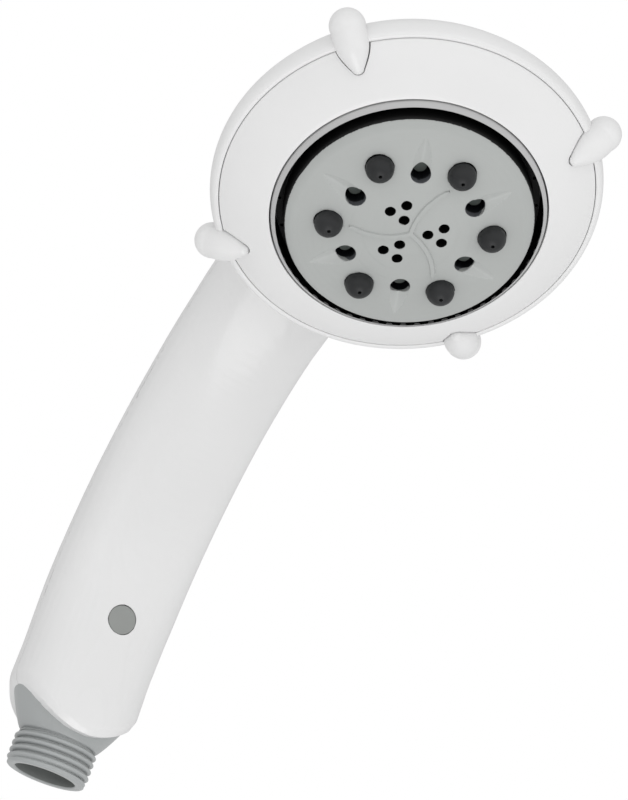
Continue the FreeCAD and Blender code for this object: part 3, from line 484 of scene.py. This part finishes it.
# Post at the bottom of each chute well: its green-grey tint is its own, its darkness is painted
# shade deep in the well
POST_GREEN_AND_SHADE = material("green_post_and_painted_shade", (0.05, 0.062, 0.055), 0.4, 0.2, 1300.0, 0.15)
INNER_PLASTIC = material("inner_plastic", (0.62, 0.63, 0.64), 0.45, 0.2, 1200.0, 0.04)
VALVE_PLASTIC = material("valve_plastic", (0.36, 0.38, 0.40), 0.5, 0.3, 1200.0, 0.05)
RUBBER = material("seal_rubber", (0.02, 0.02, 0.02), 0.7, 0.5, 1800.0, 0.15)
STEEL = material("screw_steel", (0.56, 0.56, 0.57), 0.3, 0.25, 2500.0, 0.06, metallic=1.0)

CAD_FINISH = {
    "flow_restrictor": INNER_PLASTIC, "water_tube": INNER_PLASTIC, "pivot_washer": INNER_PLASTIC,
    "valve_body": VALVE_PLASTIC, "distributor_plate": CORE_BLACK_AND_PAINTED_SHADE, "index_plate": VALVE_PLASTIC,
    "restrictor_seal": RUBBER, "tube_seal_lower": RUBBER, "tube_seal_upper": RUBBER,
    "port_seal": RUBBER, "pivot_seal": RUBBER, "chamber_gasket": RUBBER,
    "connector_screw": STEEL, "valve_screws": STEEL, "port_spring": STEEL, "pivot_screw": STEEL,
    "detent_ball": STEEL, "detent_spring": STEEL, "chamber_screws": STEEL, "face_screws": STEEL,
}
for node, finish in CAD_FINISH.items():
    frame["nodes"][node].data.materials[0] = finish


def finish_piece(piece, body, replaced, materials, choose=None, place=HEAD):
    """Rides a piece on its body, hides the CAD nodes it replaces and gives it its materials.

    choose says each face's material from its centre, in millimetres in the frame of the place.
    """
    for one in materials:
        piece.data.materials.append(one)
    if choose:
        to_local = place.inverted()
        centres = np.array([to_local @ (f.center / MM) for f in piece.data.polygons])
        for face, index in zip(piece.data.polygons, choose(centres)):
            face.material_index = int(index)
    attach(piece, body)
    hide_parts(*replaced)


# ------------------------------------------------------------------------------------ handle

def smooth_sizes():
    """Half width and half depth along the spine, as a fine table without corners."""
    along = np.linspace(TABLE_LOW, TABLE_HIGH, TABLE_ROWS)
    table = np.array(HANDLE_SIZES)
    window = np.hanning(SMOOTHED_ROWS)
    window /= window.sum()
    found = []
    for column in (1, 2):
        sizes = np.interp(along, table[:, 0], table[:, column])
        padded = np.pad(sizes, SMOOTHED_ROWS // 2, mode="edge")
        found.append(np.convolve(padded, window, mode="valid"))
    return along, found[0], found[1]


SIZE_ALONG, SIZE_WIDTH, SIZE_DEPTH = smooth_sizes()
ARC_1_LENGTH = ARC_1_RADIUS * ARC_1_TURN
ARC_2_LENGTH = ARC_2_RADIUS * (TILT - ARC_1_TURN)


def spine_place(y, z):
    """Distance along the spine and signed depth behind it, for points on the side view."""
    straight = SPINE_STRAIGHT
    centre_1 = np.array((-ARC_1_RADIUS, straight))
    turn_1 = np.arctan2(z - centre_1[1], y - centre_1[0])
    along_1 = straight + ARC_1_RADIUS * turn_1
    deep_1 = np.hypot(y - centre_1[0], z - centre_1[1]) - ARC_1_RADIUS
    gap = ARC_1_RADIUS - ARC_2_RADIUS
    centre_2 = centre_1 + gap * np.array((math.cos(ARC_1_TURN), math.sin(ARC_1_TURN)))
    turn_2 = np.arctan2(z - centre_2[1], y - centre_2[0])
    along_2 = straight + ARC_1_LENGTH + ARC_2_RADIUS * (turn_2 - ARC_1_TURN)
    deep_2 = np.hypot(y - centre_2[0], z - centre_2[1]) - ARC_2_RADIUS
    end = centre_2 + ARC_2_RADIUS * np.array((math.cos(TILT), math.sin(TILT)))
    way = np.array((-math.sin(TILT), math.cos(TILT)))
    out = np.array((math.cos(TILT), math.sin(TILT)))
    past = (y - end[0]) * way[0] + (z - end[1]) * way[1]
    along_3 = straight + ARC_1_LENGTH + ARC_2_LENGTH + past
    deep_3 = (y - end[0]) * out[0] + (z - end[1]) * out[1]
    first = z <= straight
    second = ~first & (turn_1 <= ARC_1_TURN)
    third = ~first & ~second & (turn_2 <= TILT)
    along = np.select([first, second, third], [z, along_1, along_2], along_3)
    deep = np.select([first, second, third], [y, deep_1, deep_2], deep_3)
    return along, deep


def wave_height(x):
    """Height of the wavy lower edge: low at the front and back, high at the sides."""
    return WAVE_LOW + (WAVE_HIGH - WAVE_LOW) * (x / WAVE_SPAN) ** 2


def handle_field(points, inset):
    """Distance-like field of the handle's outside, moved inwards by the inset."""
    x, y, z = points[..., 0], points[..., 1], points[..., 2]
    along, deep = spine_place(y, z)
    half_width = np.interp(along, SIZE_ALONG, SIZE_WIDTH) - inset
    half_depth = np.interp(along, SIZE_ALONG, SIZE_DEPTH) - inset
    share = ((np.abs(x) / half_width) ** SQUARENESS
             + (np.abs(deep) / half_depth) ** SQUARENESS) ** (1 / SQUARENESS)
    reach = np.hypot(x, deep)
    field = reach * (1 - 1 / np.maximum(share, 1e-6))
    if not inset:
        above = z - wave_height(x)
        field = field + BEVEL_DEPTH * blend_max(1 - above / BEVEL_BAND, 0 * above, BEVEL_ROUND)
    return blend_max(field, along - HANDLE_END + inset, HANDLE_END_ROUND)


def dome_field(points, inset):
    """Distance to the dome's crown and shoulder, in the head frame."""
    local = (points - np.array(SEAM_CENTRE)) @ np.array(HEAD.to_3x3())
    radius = np.hypot(local[..., 0], local[..., 1])
    h = local[..., 2]
    spread = DOME_R - DOME_SHOULDER_R
    crown_r = ((DOME_R ** 2 - 2 * DOME_R * DOME_SHOULDER_R + DOME_DEPTH ** 2)
               / (2 * (DOME_DEPTH - DOME_SHOULDER_R)))
    rise = crown_r - DOME_DEPTH
    meet = math.atan2(spread, rise)
    lean = np.arctan2(radius, DOME_H + rise - h)
    crown = np.hypot(radius, h - DOME_H - rise) - crown_r
    shoulder = np.hypot(radius - spread, h - DOME_H) - DOME_SHOULDER_R
    side = radius - DOME_R
    field = np.where(h > DOME_H, side, np.where(lean < meet, crown, shoulder))
    return field + inset, h, radius


def shell_field(points):
    """Walls of the handle and dome together, open at the wavy edge and at the dome's rim."""
    dome, h, radius = dome_field(points, 0)
    outside = blend_min(handle_field(points, 0), dome, NECK_BLEND)
    above = points[..., 2] - wave_height(points[..., 0])
    hidden_lip = LIP_EXTRA * np.clip(LIP_BANDS - above / BEVEL_BAND, 0, 1)
    inside = blend_min(handle_field(points, WALL) + hidden_lip, dome + WALL, NECK_BLEND)
    walls = np.maximum(outside, -inside)
    edge = -above * EDGE_SLOPE
    mouth = np.minimum(h - DOME_RIM_H, SWEEP_R - radius)
    sweep = np.minimum(np.minimum(h - SWEEP_H, SWEEP_R - radius), radius - DOME_R)
    return np.maximum(np.maximum(walls, edge), np.maximum(mouth, sweep))


def cover_well(points):
    """Round well for the screw cover, running in from the front."""
    across = np.hypot(points[..., 0], points[..., 2] - COVER_Z) - (COVER_R + COVER_GAP)
    return np.maximum(across, points[..., 1] - COVER_WELL_Y)


def parting(points):
    """Positive behind the parting surface, which follows the spine, and inside the dome."""
    _, deep = spine_place(points[..., 1], points[..., 2])
    _, _, radius = dome_field(points, 0)
    return np.maximum(deep, DOME_R + 0.1 - radius)


def front_shell_field(points):
    walls = np.maximum(shell_field(points), -cover_well(points))
    return np.maximum(walls, parting(points) + PARTING_GAP / 2)


def rear_shell_field(points):
    return np.maximum(shell_field(points), PARTING_GAP / 2 - parting(points))


def corner_box(node, room=2.0):
    """Corners of a CAD node's box in millimetres, with some room."""
    low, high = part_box(node)
    return [c / MM - room for c in low], [c / MM + room for c in high]


def make_handle():
    for name, field in (("front", front_shell_field), ("rear", rear_shell_field)):
        node = "handle_%s_shell" % name
        points, faces = contour(field, *corner_box(node), HANDLE_STEP)
        piece = add_piece("%s_shell" % name, points, faces, sharp=38)
        finish_piece(piece, "handle", [node], [WHITE])


def make_cover():
    """Domed screw cover with a soft edge."""
    low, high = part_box("screw_cover")
    thick = (high.y - low.y) / MM
    profile = soften([(0.001, 0, 0), (COVER_R, 0, 0.1), (COVER_R, thick, 0.35),
                      (0.001, thick + 0.12, 0)], 6)
    points, faces = lathe(profile, 96)
    place = Matrix.Translation((0, high.y / MM, COVER_Z)) @ Matrix.Rotation(math.radians(90), 4, "X")
    piece = add_piece("screw_cover_cap", points, faces, place)
    finish_piece(piece, "handle", ["screw_cover"], [COVER_GREY])


# ------------------------------------------------------------------------------------- inlet

def thread_radius(z, angle):
    """Radius of the rounded thread, fading into a plain ring at the mouth and a collar above."""
    phase = z / PIPE_PITCH - angle / (2 * math.pi) - THREAD_PHASE
    from_crest = np.abs(phase - np.round(phase)) / BEAD_SHARE
    ridge = np.clip(1 - from_crest ** BEAD_FLATNESS, 0, 1) ** BEAD_FULLNESS
    fade_low = np.clip((z - THREAD_START_Z) / THREAD_START_RUN, 0, 1)
    fade_high = np.clip((THREAD_END_Z - z) / THREAD_END_RUN, 0, 1)
    threaded = PIPE_MINOR_R + (PIPE_MAJOR_R - PIPE_MINOR_R) * ridge
    if z < THREAD_TOP_Z / 2:
        return MOUTH_RING_R + (threaded - MOUTH_RING_R) * fade_low
    return PIPE_MINOR_R + (threaded - PIPE_MINOR_R) * fade_high


def bowl_radius(z, angle):
    """Radius of the bowl: round where it leaves the thread, as square as the handle higher up."""
    share = min((z - THREAD_TOP_Z) / BOWL_RISE, 1.0)
    ease = share ** BOWL_EASE
    tuck = 1 - BOWL_TUCK * max(z - BOWL_TUCK_Z, 0)
    half_width = (BOWL_LOW_R + (BOWL_HALF_WIDTH - BOWL_LOW_R) * ease) * tuck
    half_depth = (BOWL_LOW_R + (BOWL_HALF_DEPTH - BOWL_LOW_R) * ease) * tuck
    power = 2 + (SQUARENESS - 2) * share
    wide = (np.abs(np.cos(angle)) / half_width) ** power
    deep = (np.abs(np.sin(angle)) / half_depth) ** power
    return 1 / (wide + deep) ** (1 / power)


def make_inlet():
    """Bore, mouth, thread and flared bowl as one closed skin."""
    angle = np.linspace(0, 2 * math.pi, 240, endpoint=False)
    bore = [(3.4, 25.9), (3.4, 23.0), (6.7, 23.0), (6.7, 14.4), (6.75, 14.0), (7.5, 14.0),
            (MOUTH_R, 13.6), (MOUTH_R, 9.0), (MOUTH_R, 5.0), (MOUTH_R, 2.0)]
    mouth = [(MOUTH_R, 0.35), (7.95, 0.1), (8.2, 0.0), (9.1, 0.0), (9.45, 0.02), (9.75, 0.12)]
    rings = [(np.full(len(angle), r), z) for r, z in bore + mouth]
    rings += [(thread_radius(z, angle), z) for z in np.linspace(0.35, THREAD_TOP_Z, 200)]
    rings += [(bowl_radius(z, angle), z) for z in np.linspace(9.3, BOWL_TOP_Z, 60)]
    points = [np.stack((r * np.cos(angle), r * np.sin(angle), np.full(len(angle), z)), -1)
              for r, z in rings]
    faces = grid_faces(len(rings), len(angle), True, True)
    piece = add_piece("threaded_inlet", np.vstack(points), faces, sharp=80)

    # Painted shade: faces inside the bore take the darker grey
    def shaded_bore(centres):
        reach, z = np.hypot(centres[:, 0], centres[:, 1]), centres[:, 2]
        return (reach < MOUTH_R + 0.02) & (z > 0.2) & (z < 25.0)

    finish_piece(piece, "handle", ["inlet_connector"],
                 [INLET_GREY, INLET_BORE_SHADE], shaded_bore, WORLD)


# -------------------------------------------------------------------------------------- head

def lug_shape(extra, count=64):
    """Egg-shaped lug at angle 0 in the head frame, a little fuller than a straight cone."""
    run = np.array(LUG_TIP) - np.array(LUG_BALL)
    length = float(np.linalg.norm(run))
    ball_r, tip_r = LUG_BALL_R + extra, LUG_TIP_R + extra
    lean = math.asin((ball_r - tip_r) / length)
    back = np.linspace(math.pi, math.pi / 2 - lean, 20)
    profile = [(ball_r * math.sin(t), ball_r * math.cos(t)) for t in back]
    start = np.array(profile[-1])
    stop = np.array((tip_r * math.cos(lean), length + tip_r * math.sin(lean)))
    for t in np.linspace(0, 1, 18)[1:-1]:
        fuller = np.array((LUG_FULLNESS * math.sin(math.pi * t), 0))
        profile.append(tuple(start + (stop - start) * t + fuller))
    front = np.linspace(math.pi / 2 - lean, 0, 9)
    profile += [(tip_r * math.sin(t), length + tip_r * math.cos(t)) for t in front]
    profile = np.array(profile)
    profile[:, 0] = np.maximum(profile[:, 0], 1e-4)
    turns = np.linspace(0, 2 * math.pi, count, endpoint=False)
    axis = np.array((run[0], 0, run[1])) / length
    side = np.array((0.0, 1.0, 0.0))
    up = np.cross(side, axis)
    points = []
    for turn in turns:
        way = side * math.cos(turn) + up * math.sin(turn)
        points += [np.array((LUG_BALL[0], 0, LUG_BALL[1])) + axis * t + way * r for r, t in profile]
    return np.array(points), grid_faces(count, len(profile), True, False)


def lug_object(name, extra, angle):
    points, faces = lug_shape(extra)
    return add_piece(name, turned_about_h(points, angle), faces, HEAD)


def make_grip_ring():
    """White band with its lugs, cut back inside for the face plate that sits in it."""
    corners = ([(GRIP_BORE_R, SKIRT_H, 0), (GRIP_BORE_R, -0.1, 0.22), (45.75, -0.02, 0.5)]
               + arc(BAND_CENTRE, BAND_R, 26, -46, 22)
               + [(44.7, GRIP_LOW_H, 0.6), (SKIRT_R, GRIP_LOW_H, 0.25), (SKIRT_R, SKIRT_H, 0)])
    points, faces = lathe(soften(corners), 256)
    ring = add_piece("lobed_grip_ring", points, faces, HEAD)
    carve(ring, [lug_object("lug_%d" % k, 0.0, a) for k, a in enumerate(LUG_ANGLES)], "UNION")
    inner_r, low, high = GRIP_BORE_R - 0.02, SKIRT_H + 0.05, -1.2
    points, faces = lathe(np.array([(20, low), (inner_r, low), (inner_r, high), (20, high)]), 192)
    clearance = add_piece("ring_clearance", points, faces, HEAD)
    carve(ring, [clearance])
    finish_piece(ring, "spray_head", ["grip_ring"], [FACE_WHITE])


def make_face():
    """Slightly bulging cone with a notch round the tip of each lug."""
    inner, outer = np.array(CONE_INNER), np.array(CONE_OUTER)
    normal = np.array((inner[1] - outer[1], outer[0] - inner[0])) / np.linalg.norm(outer - inner)
    cone = []
    for t in np.linspace(0.03, 0.97, 26):
        r, h = inner * (1 - t) + outer * t + normal * CONE_BULGE * 4 * t * (1 - t)
        cone.append((r, h, 0))
    corners = ([(FACE_BORE_R, COLLAR_LOW_H, 0), (FACE_BORE_R, 8.02, 0.28)] + cone
               + [(SEAM_R, -0.05, 0.22), (SEAM_R, FACE_LOW_H, 0), (FACE_RIM_R, FACE_LOW_H, 0),
                  (FACE_RIM_R, -0.6, 0), (FACE_COLLAR_R, 4.6, 0), (FACE_COLLAR_R, COLLAR_LOW_H, 0)])
    points, faces = lathe(soften(corners), 256)
    face = add_piece("face_cone", points, faces, HEAD)
    carve(face, [lug_object("notch_%d" % k, LUG_GAP, a) for k, a in enumerate(LUG_ANGLES)])
    finish_piece(face, "spray_head", ["face_plate"], [FACE_WHITE])


def make_serrated_ring():
    """Lipped ring with short teeth under the lip, in front of an inner wall painted black as shade.
    """
    corners = [(RING_WALL_R, COLLAR_LOW_H, 0), (RING_WALL_R, TOOTH_LOW_H - 0.05, 0),
               (RING_WALL_R, TOOTH_LOW_H, 0), (RING_WALL_R, TOOTH_TOP_H, 0),
               (RING_BORE_R, LIP_INNER_H - 0.2, 0), (RING_BORE_R, LIP_INNER_H, 0.12),
               (RING_R, LIP_OUTER_H, 0.3), (RING_R, COLLAR_LOW_H, 0)]

    def with_teeth(r, h, angle):
        wave = np.cos(TEETH * (angle - math.radians(PATTERN_ANGLE)))
        tooth = np.clip(wave * TOOTH_SHARPNESS, 0, 1) * (RING_WALL_R - RING_BORE_R)
        middle, half = (TOOTH_LOW_H + TOOTH_TOP_H) / 2, (TOOTH_TOP_H - TOOTH_LOW_H) / 2
        moved = (np.abs(r - RING_WALL_R) < 0.01) & (np.abs(h - middle) < half + 0.01)
        return r - np.where(moved, tooth, 0)

    points, faces = lathe(soften(corners), TEETH * 16, with_teeth)
    ring = add_piece("toothed_ring", points, faces, HEAD, sharp=30)

    # Painted shade: the inner wall behind the teeth is coloured black
    def shaded_inner_wall(centres):
        radius = np.hypot(centres[:, 0], centres[:, 1])
        return (np.abs(radius - RING_WALL_R) < 0.1) & (centres[:, 2] < TOOTH_TOP_H)

    finish_piece(ring, "spray_head", ["serrated_ring"], [RING_GREY, CORE_BLACK_AND_PAINTED_SHADE],
                 shaded_inner_wall)


def folded(points, count, start):
    """Head frame points folded into one sector: distance out along its middle, and across."""
    angle = np.arctan2(points[..., 1], points[..., 0]) - math.radians(start)
    sector = 2 * math.pi / count
    angle = (angle + sector / 2) % sector - sector / 2
    radius = np.hypot(points[..., 0], points[..., 1])
    return radius * np.cos(angle), radius * np.sin(angle)


def rib_distance(points):
    """Distance to the middle line of the three bowed rib arms, and the share along them."""
    best, share_of = np.full(points.shape[:-1], 1e3), np.zeros(points.shape[:-1])
    bow = np.array((RIB_BOW_R * math.cos(RIB_BOW_TURN), RIB_BOW_R * math.sin(RIB_BOW_TURN)))
    centre = np.array((RIB_REACH / 2, (bow @ bow - RIB_REACH * bow[0]) / (2 * bow[1])))
    radius = float(np.hypot(*centre))
    first = math.atan2(-centre[1], -centre[0])
    span = math.atan2(-centre[1], RIB_REACH - centre[0]) - first
    for k in range(3):
        turn = math.radians(PATTERN_ANGLE + 60 + 120 * k)
        x = points[..., 0] * math.cos(turn) + points[..., 1] * math.sin(turn)
        y = -points[..., 0] * math.sin(turn) + points[..., 1] * math.cos(turn)
        share = (np.arctan2(y - centre[1], x - centre[0]) - first) / span
        on_arc = np.abs(np.hypot(x - centre[0], y - centre[1]) - radius)
        past, before = np.hypot(x - RIB_REACH, y), np.hypot(x, y)
        distance = np.where(share > 1, past, np.where(share < 0, before, on_arc))
        share_of = np.where(distance < best, np.clip(share, 0, 1), share_of)
        best = np.minimum(best, distance)
    return best, share_of


def crown_height(points):
    """Signed distance above the plate's domed top."""
    radius = np.hypot(points[..., 0], points[..., 1])
    return np.hypot(radius, points[..., 2] - (PLATE_TOP_H - CROWN_R)) - CROWN_R


def chute_place(points):
    """Distance out from the nearest chute hole's axis, and across the chute's middle line."""
    out, across = folded(points, 6, PATTERN_ANGLE + 30)
    return out - CHUTE_CIRCLE_R, across


def ball_reach(points):
    """Distance from the nearest ball hole's axis."""
    out, across = folded(points, 6, PATTERN_ANGLE)
    return np.hypot(out - BALL_CIRCLE_R, across)


def jet_reach(points):
    """Distance from the nearest jet's axis: three clusters of three."""
    out, across = folded(points, 3, PATTERN_ANGLE)
    found = []
    for turn in (math.radians(60), math.radians(180), math.radians(300)):
        x = JET_CLUSTER_R + JET_SPREAD * math.cos(turn)
        found.append(np.hypot(out - x, across - JET_SPREAD * math.sin(turn)))
    return np.minimum(np.minimum(found[0], found[1]), found[2])


def plate_field(points):
    """Domed nozzle plate with its holes, chutes, jets and the raised rib, in the head frame."""
    radius = np.hypot(points[..., 0], points[..., 1])
    h = points[..., 2]
    top = crown_height(points)
    rib, share = rib_distance(points)
    half = RIB_WIDTH / 2 * np.clip((RIB_END - share) / RIB_TAPER, 0, 1) ** 0.5
    lift = RIB_RISE * np.clip(RIB_FLATNESS * (1 - (rib / np.maximum(half, 0.02)) ** 2), 0, 1)
    field = round_max(top, radius - PLATE_R, PLATE_EDGE_R) - lift
    from_hole, across = chute_place(points)
    run = np.clip(from_hole / CHUTE_REACH, 0, 1)
    half = CHUTE_HALF_WIDTH * (1 - run ** CHUTE_TAPER) + 1e-3
    depth = CHUTE_DEPTH * (1 - run) ** CHUTE_FALL
    groove = top + depth * (1 - np.abs(across / half) ** CHUTE_ROUNDNESS)
    in_reach = (from_hole > CHUTE_START) & (from_hole < CHUTE_REACH)
    in_chute = in_reach & (np.abs(across) < half * 1.6)
    field = blend_max(field, np.where(in_chute, groove, FAR_INSIDE), CHUTE_EDGE)
    reach = np.hypot(from_hole, across)
    well = np.maximum(reach - CHUTE_R, CHUTE_LOW_H - h)
    post = np.maximum(reach - POST_R, h - POST_TOP_H)
    field = blend_max(field, -np.maximum(well, -post), WELL_EDGE)
    ball = np.maximum(ball_reach(points) - BALL_HOLE_R, BALL_HOLE_LOW_H - h)
    field = blend_max(field, -ball, BALL_HOLE_EDGE)
    jet = np.maximum(jet_reach(points) - JET_R, JET_LOW_H - h)
    field = blend_max(field, -jet, JET_EDGE)
    return np.maximum(field, PLATE_BACK_H - h)


def plate_finish(centres):
    """Which of the plate's materials each face has, by its place.

    Painted shade in the holes, jets and wells starts a little below the crown, so that the rounded
    rim of each hole stays light.
    """
    plate, black, hole, post, wall, chute = range(6)
    h = centres[:, 2]
    top = crown_height(centres)
    found = np.full(len(h), plate)
    from_hole, across = chute_place(centres)
    along = from_hole / CHUTE_REACH
    in_chute = (along > 0) & (along < 1) & (np.abs(across) < CHUTE_HALF_WIDTH)
    found[in_chute & (top < -CHUTE_TINT_DEPTH)] = chute
    # Painted shade: the plate's side wall below this height and the walls of the ball holes and jets
    # are coloured black
    found[h < PLATE_SHADE_PAINT_H] = black
    found[(ball_reach(centres) < BALL_HOLE_R + HOLE_MARGIN) & (top < -BALL_SHADE_PAINT_DEPTH)] = black
    found[(jet_reach(centres) < JET_R + HOLE_MARGIN) & (top < -JET_SHADE_PAINT_DEPTH)] = black
    reach = np.hypot(from_hole, across)
    # Painted shade in each chute well: near black deep down, dark grey on the wall near the rim
    rim = -WELL_SHADE_PAINT_DEPTH - CHUTE_DEPTH * np.clip(from_hole, 0, 1)
    deep = (reach < CHUTE_R + WELL_MARGIN) & (top < rim)
    found[deep] = hole
    found[deep & (reach > WELL_WALL_R) & (top > -WELL_WALL_DEPTH)] = wall
    # Posts take the green-grey that holds painted shade for their depth
    on_post = (h > CHUTE_LOW_H + POST_FOOT) & (h < POST_TOP_H + POST_HEAD)
    found[(reach < POST_R + POST_MARGIN) & on_post] = post
    return found


def make_nozzle_plate():
    low = (-PLATE_R - 1, -PLATE_R - 1, PLATE_BACK_H - 1)
    high = (PLATE_R + 1, PLATE_R + 1, PLATE_TOP_H + 1)
    points, faces = contour(plate_field, low, high, PLATE_STEP)
    plate = add_piece("domed_nozzle_plate", points, faces, HEAD, sharp=40)
    finish_piece(plate, "spray_head", ["nozzle_plate"],
                 [PLATE_GREY, CORE_BLACK_AND_PAINTED_SHADE, PAINTED_SHADE_DEEP, POST_GREEN_AND_SHADE, WALL_GREY, CHUTE_GREY],
                 plate_finish)


def make_balls():
    """Ball nozzles with a small orifice along the spray."""
    for number in range(1, 7):
        rise = np.linspace(BALL_LOW_TURN, BALL_MOUTH_TURN, 40)
        profile = [(BALL_R * math.cos(t), BALL_H + BALL_R * math.sin(t)) for t in rise]
        lip_r, lip_h = profile[-1]
        profile += [(lip_r - 0.12, lip_h - 0.03), (ORIFICE_R + 0.02, lip_h - 0.25),
                    (ORIFICE_R, BALL_H + 1.0), (0.001, BALL_H + 0.9), (0.001, BALL_H - 4.0)]
        points, faces = lathe(np.array(profile), 72)
        angle = PATTERN_ANGLE + 60.0 * (number - 1)
        points = turned_about_h(points + np.array((BALL_CIRCLE_R, 0, 0)), angle)
        ball = add_piece("ball_tip_%d" % number, points, faces, HEAD, sharp=30)
        finish_piece(ball, "spray_head", ["ball_nozzle_%d" % number], [BALL_DARK])


# ------------------------------------------------------------------------------ studio, camera

def make_studio():
    """Plain pale floor well below the part and a pale surround that lights the scene."""
    mesh = bpy.data.meshes.new("floor")
    corners = [(x * FLOOR_HALF, y * FLOOR_HALF, FLOOR_Z)
               for x, y in ((-1, -1), (1, -1), (1, 1), (-1, 1))]
    mesh.from_pydata(corners, [], [(0, 1, 2, 3)])
    floor = bpy.data.objects.new("floor", mesh)
    bpy.context.scene.collection.objects.link(floor)
    mesh.materials.append(material("pale_floor", (0.85, 0.85, 0.85), 0.8, variation=0.005))
    world = bpy.data.worlds.new("studio")
    bpy.context.scene.world = world
    world.use_nodes = True
    nodes, links = world.node_tree.nodes, world.node_tree.links
    nodes.clear()
    seen = nodes.new("ShaderNodeBackground")
    seen.inputs["Color"].default_value = (1, 1, 1, 1)
    seen.inputs["Strength"].default_value = 1.0
    light = nodes.new("ShaderNodeBackground")
    light.inputs["Strength"].default_value = WORLD_LIGHT
    where = nodes.new("ShaderNodeTexCoord")
    facing = nodes.new("ShaderNodeVectorMath")
    facing.operation = "DOT_PRODUCT"
    facing.inputs[1].default_value = SKY_AXIS.normalized()
    ramp = nodes.new("ShaderNodeValToRGB")
    ramp.color_ramp.interpolation = "EASE"
    ramp.color_ramp.elements[0].position = 0.0
    ramp.color_ramp.elements[0].color = (SKY_LOW, SKY_LOW, SKY_LOW, 1)
    ramp.color_ramp.elements[1].position = SKY_FULL_AT
    ramp.color_ramp.elements[1].color = (1, 1, 1, 1)
    spread = nodes.new("ShaderNodeMapRange")
    spread.inputs["From Min"].default_value = -1.0
    spread.inputs["From Max"].default_value = 1.0
    links.new(where.outputs["Generated"], facing.inputs[0])
    links.new(facing.outputs["Value"], spread.inputs["Value"])
    links.new(spread.outputs["Result"], ramp.inputs["Fac"])
    links.new(ramp.outputs["Color"], light.inputs["Color"])
    path = nodes.new("ShaderNodeLightPath")
    mix = nodes.new("ShaderNodeMixShader")
    out = nodes.new("ShaderNodeOutputWorld")
    links.new(path.outputs["Is Camera Ray"], mix.inputs["Fac"])
    links.new(light.outputs["Background"], mix.inputs[1])
    links.new(seen.outputs["Background"], mix.inputs[2])
    links.new(mix.outputs["Shader"], out.inputs["Surface"])


def add_lamp(name, place, aim, size, power):
    data = bpy.data.lights.new(name, "AREA")
    data.shape = "DISK"
    data.size = size
    data.energy = power
    lamp = bpy.data.objects.new(name, data)
    bpy.context.scene.collection.objects.link(lamp)
    lamp.location = place
    lamp.rotation_mode = "QUATERNION"
    lamp.rotation_quaternion = (Vector(aim) - Vector(place)).to_track_quat("-Z", "Y")


def make_camera():
    """Long lens from the front and below, rolled so that the handle leans."""
    data = bpy.data.cameras.new("camera")
    camera = bpy.data.objects.new("camera", data)
    bpy.context.scene.collection.objects.link(camera)
    data.lens = LENS
    data.sensor_width = 36.0
    camera.location = CAMERA_PLACE
    back = CAMERA_BACK.normalized()
    up = back.cross(CAMERA_RIGHT.normalized()).normalized()
    right = up.cross(back)
    turn = Matrix((right, up, back)).transposed()
    camera.rotation_mode = "QUATERNION"
    camera.rotation_quaternion = turn.to_quaternion()
    data.clip_start = 0.05
    bpy.context.scene.camera = camera


make_handle()
make_cover()
make_inlet()
make_grip_ring()
make_face()
make_serrated_ring()
make_nozzle_plate()
make_balls()
make_studio()
add_lamp("key", (-0.9, -1.0, -0.1), (0, -0.05, 0.1), 0.7, 0.4)
add_lamp("fill", (0.1, -0.55, -0.8), (0, -0.08, 0.15), 0.9, 3.8)
make_camera()
bpy.context.scene.view_settings.view_transform = "Standard"
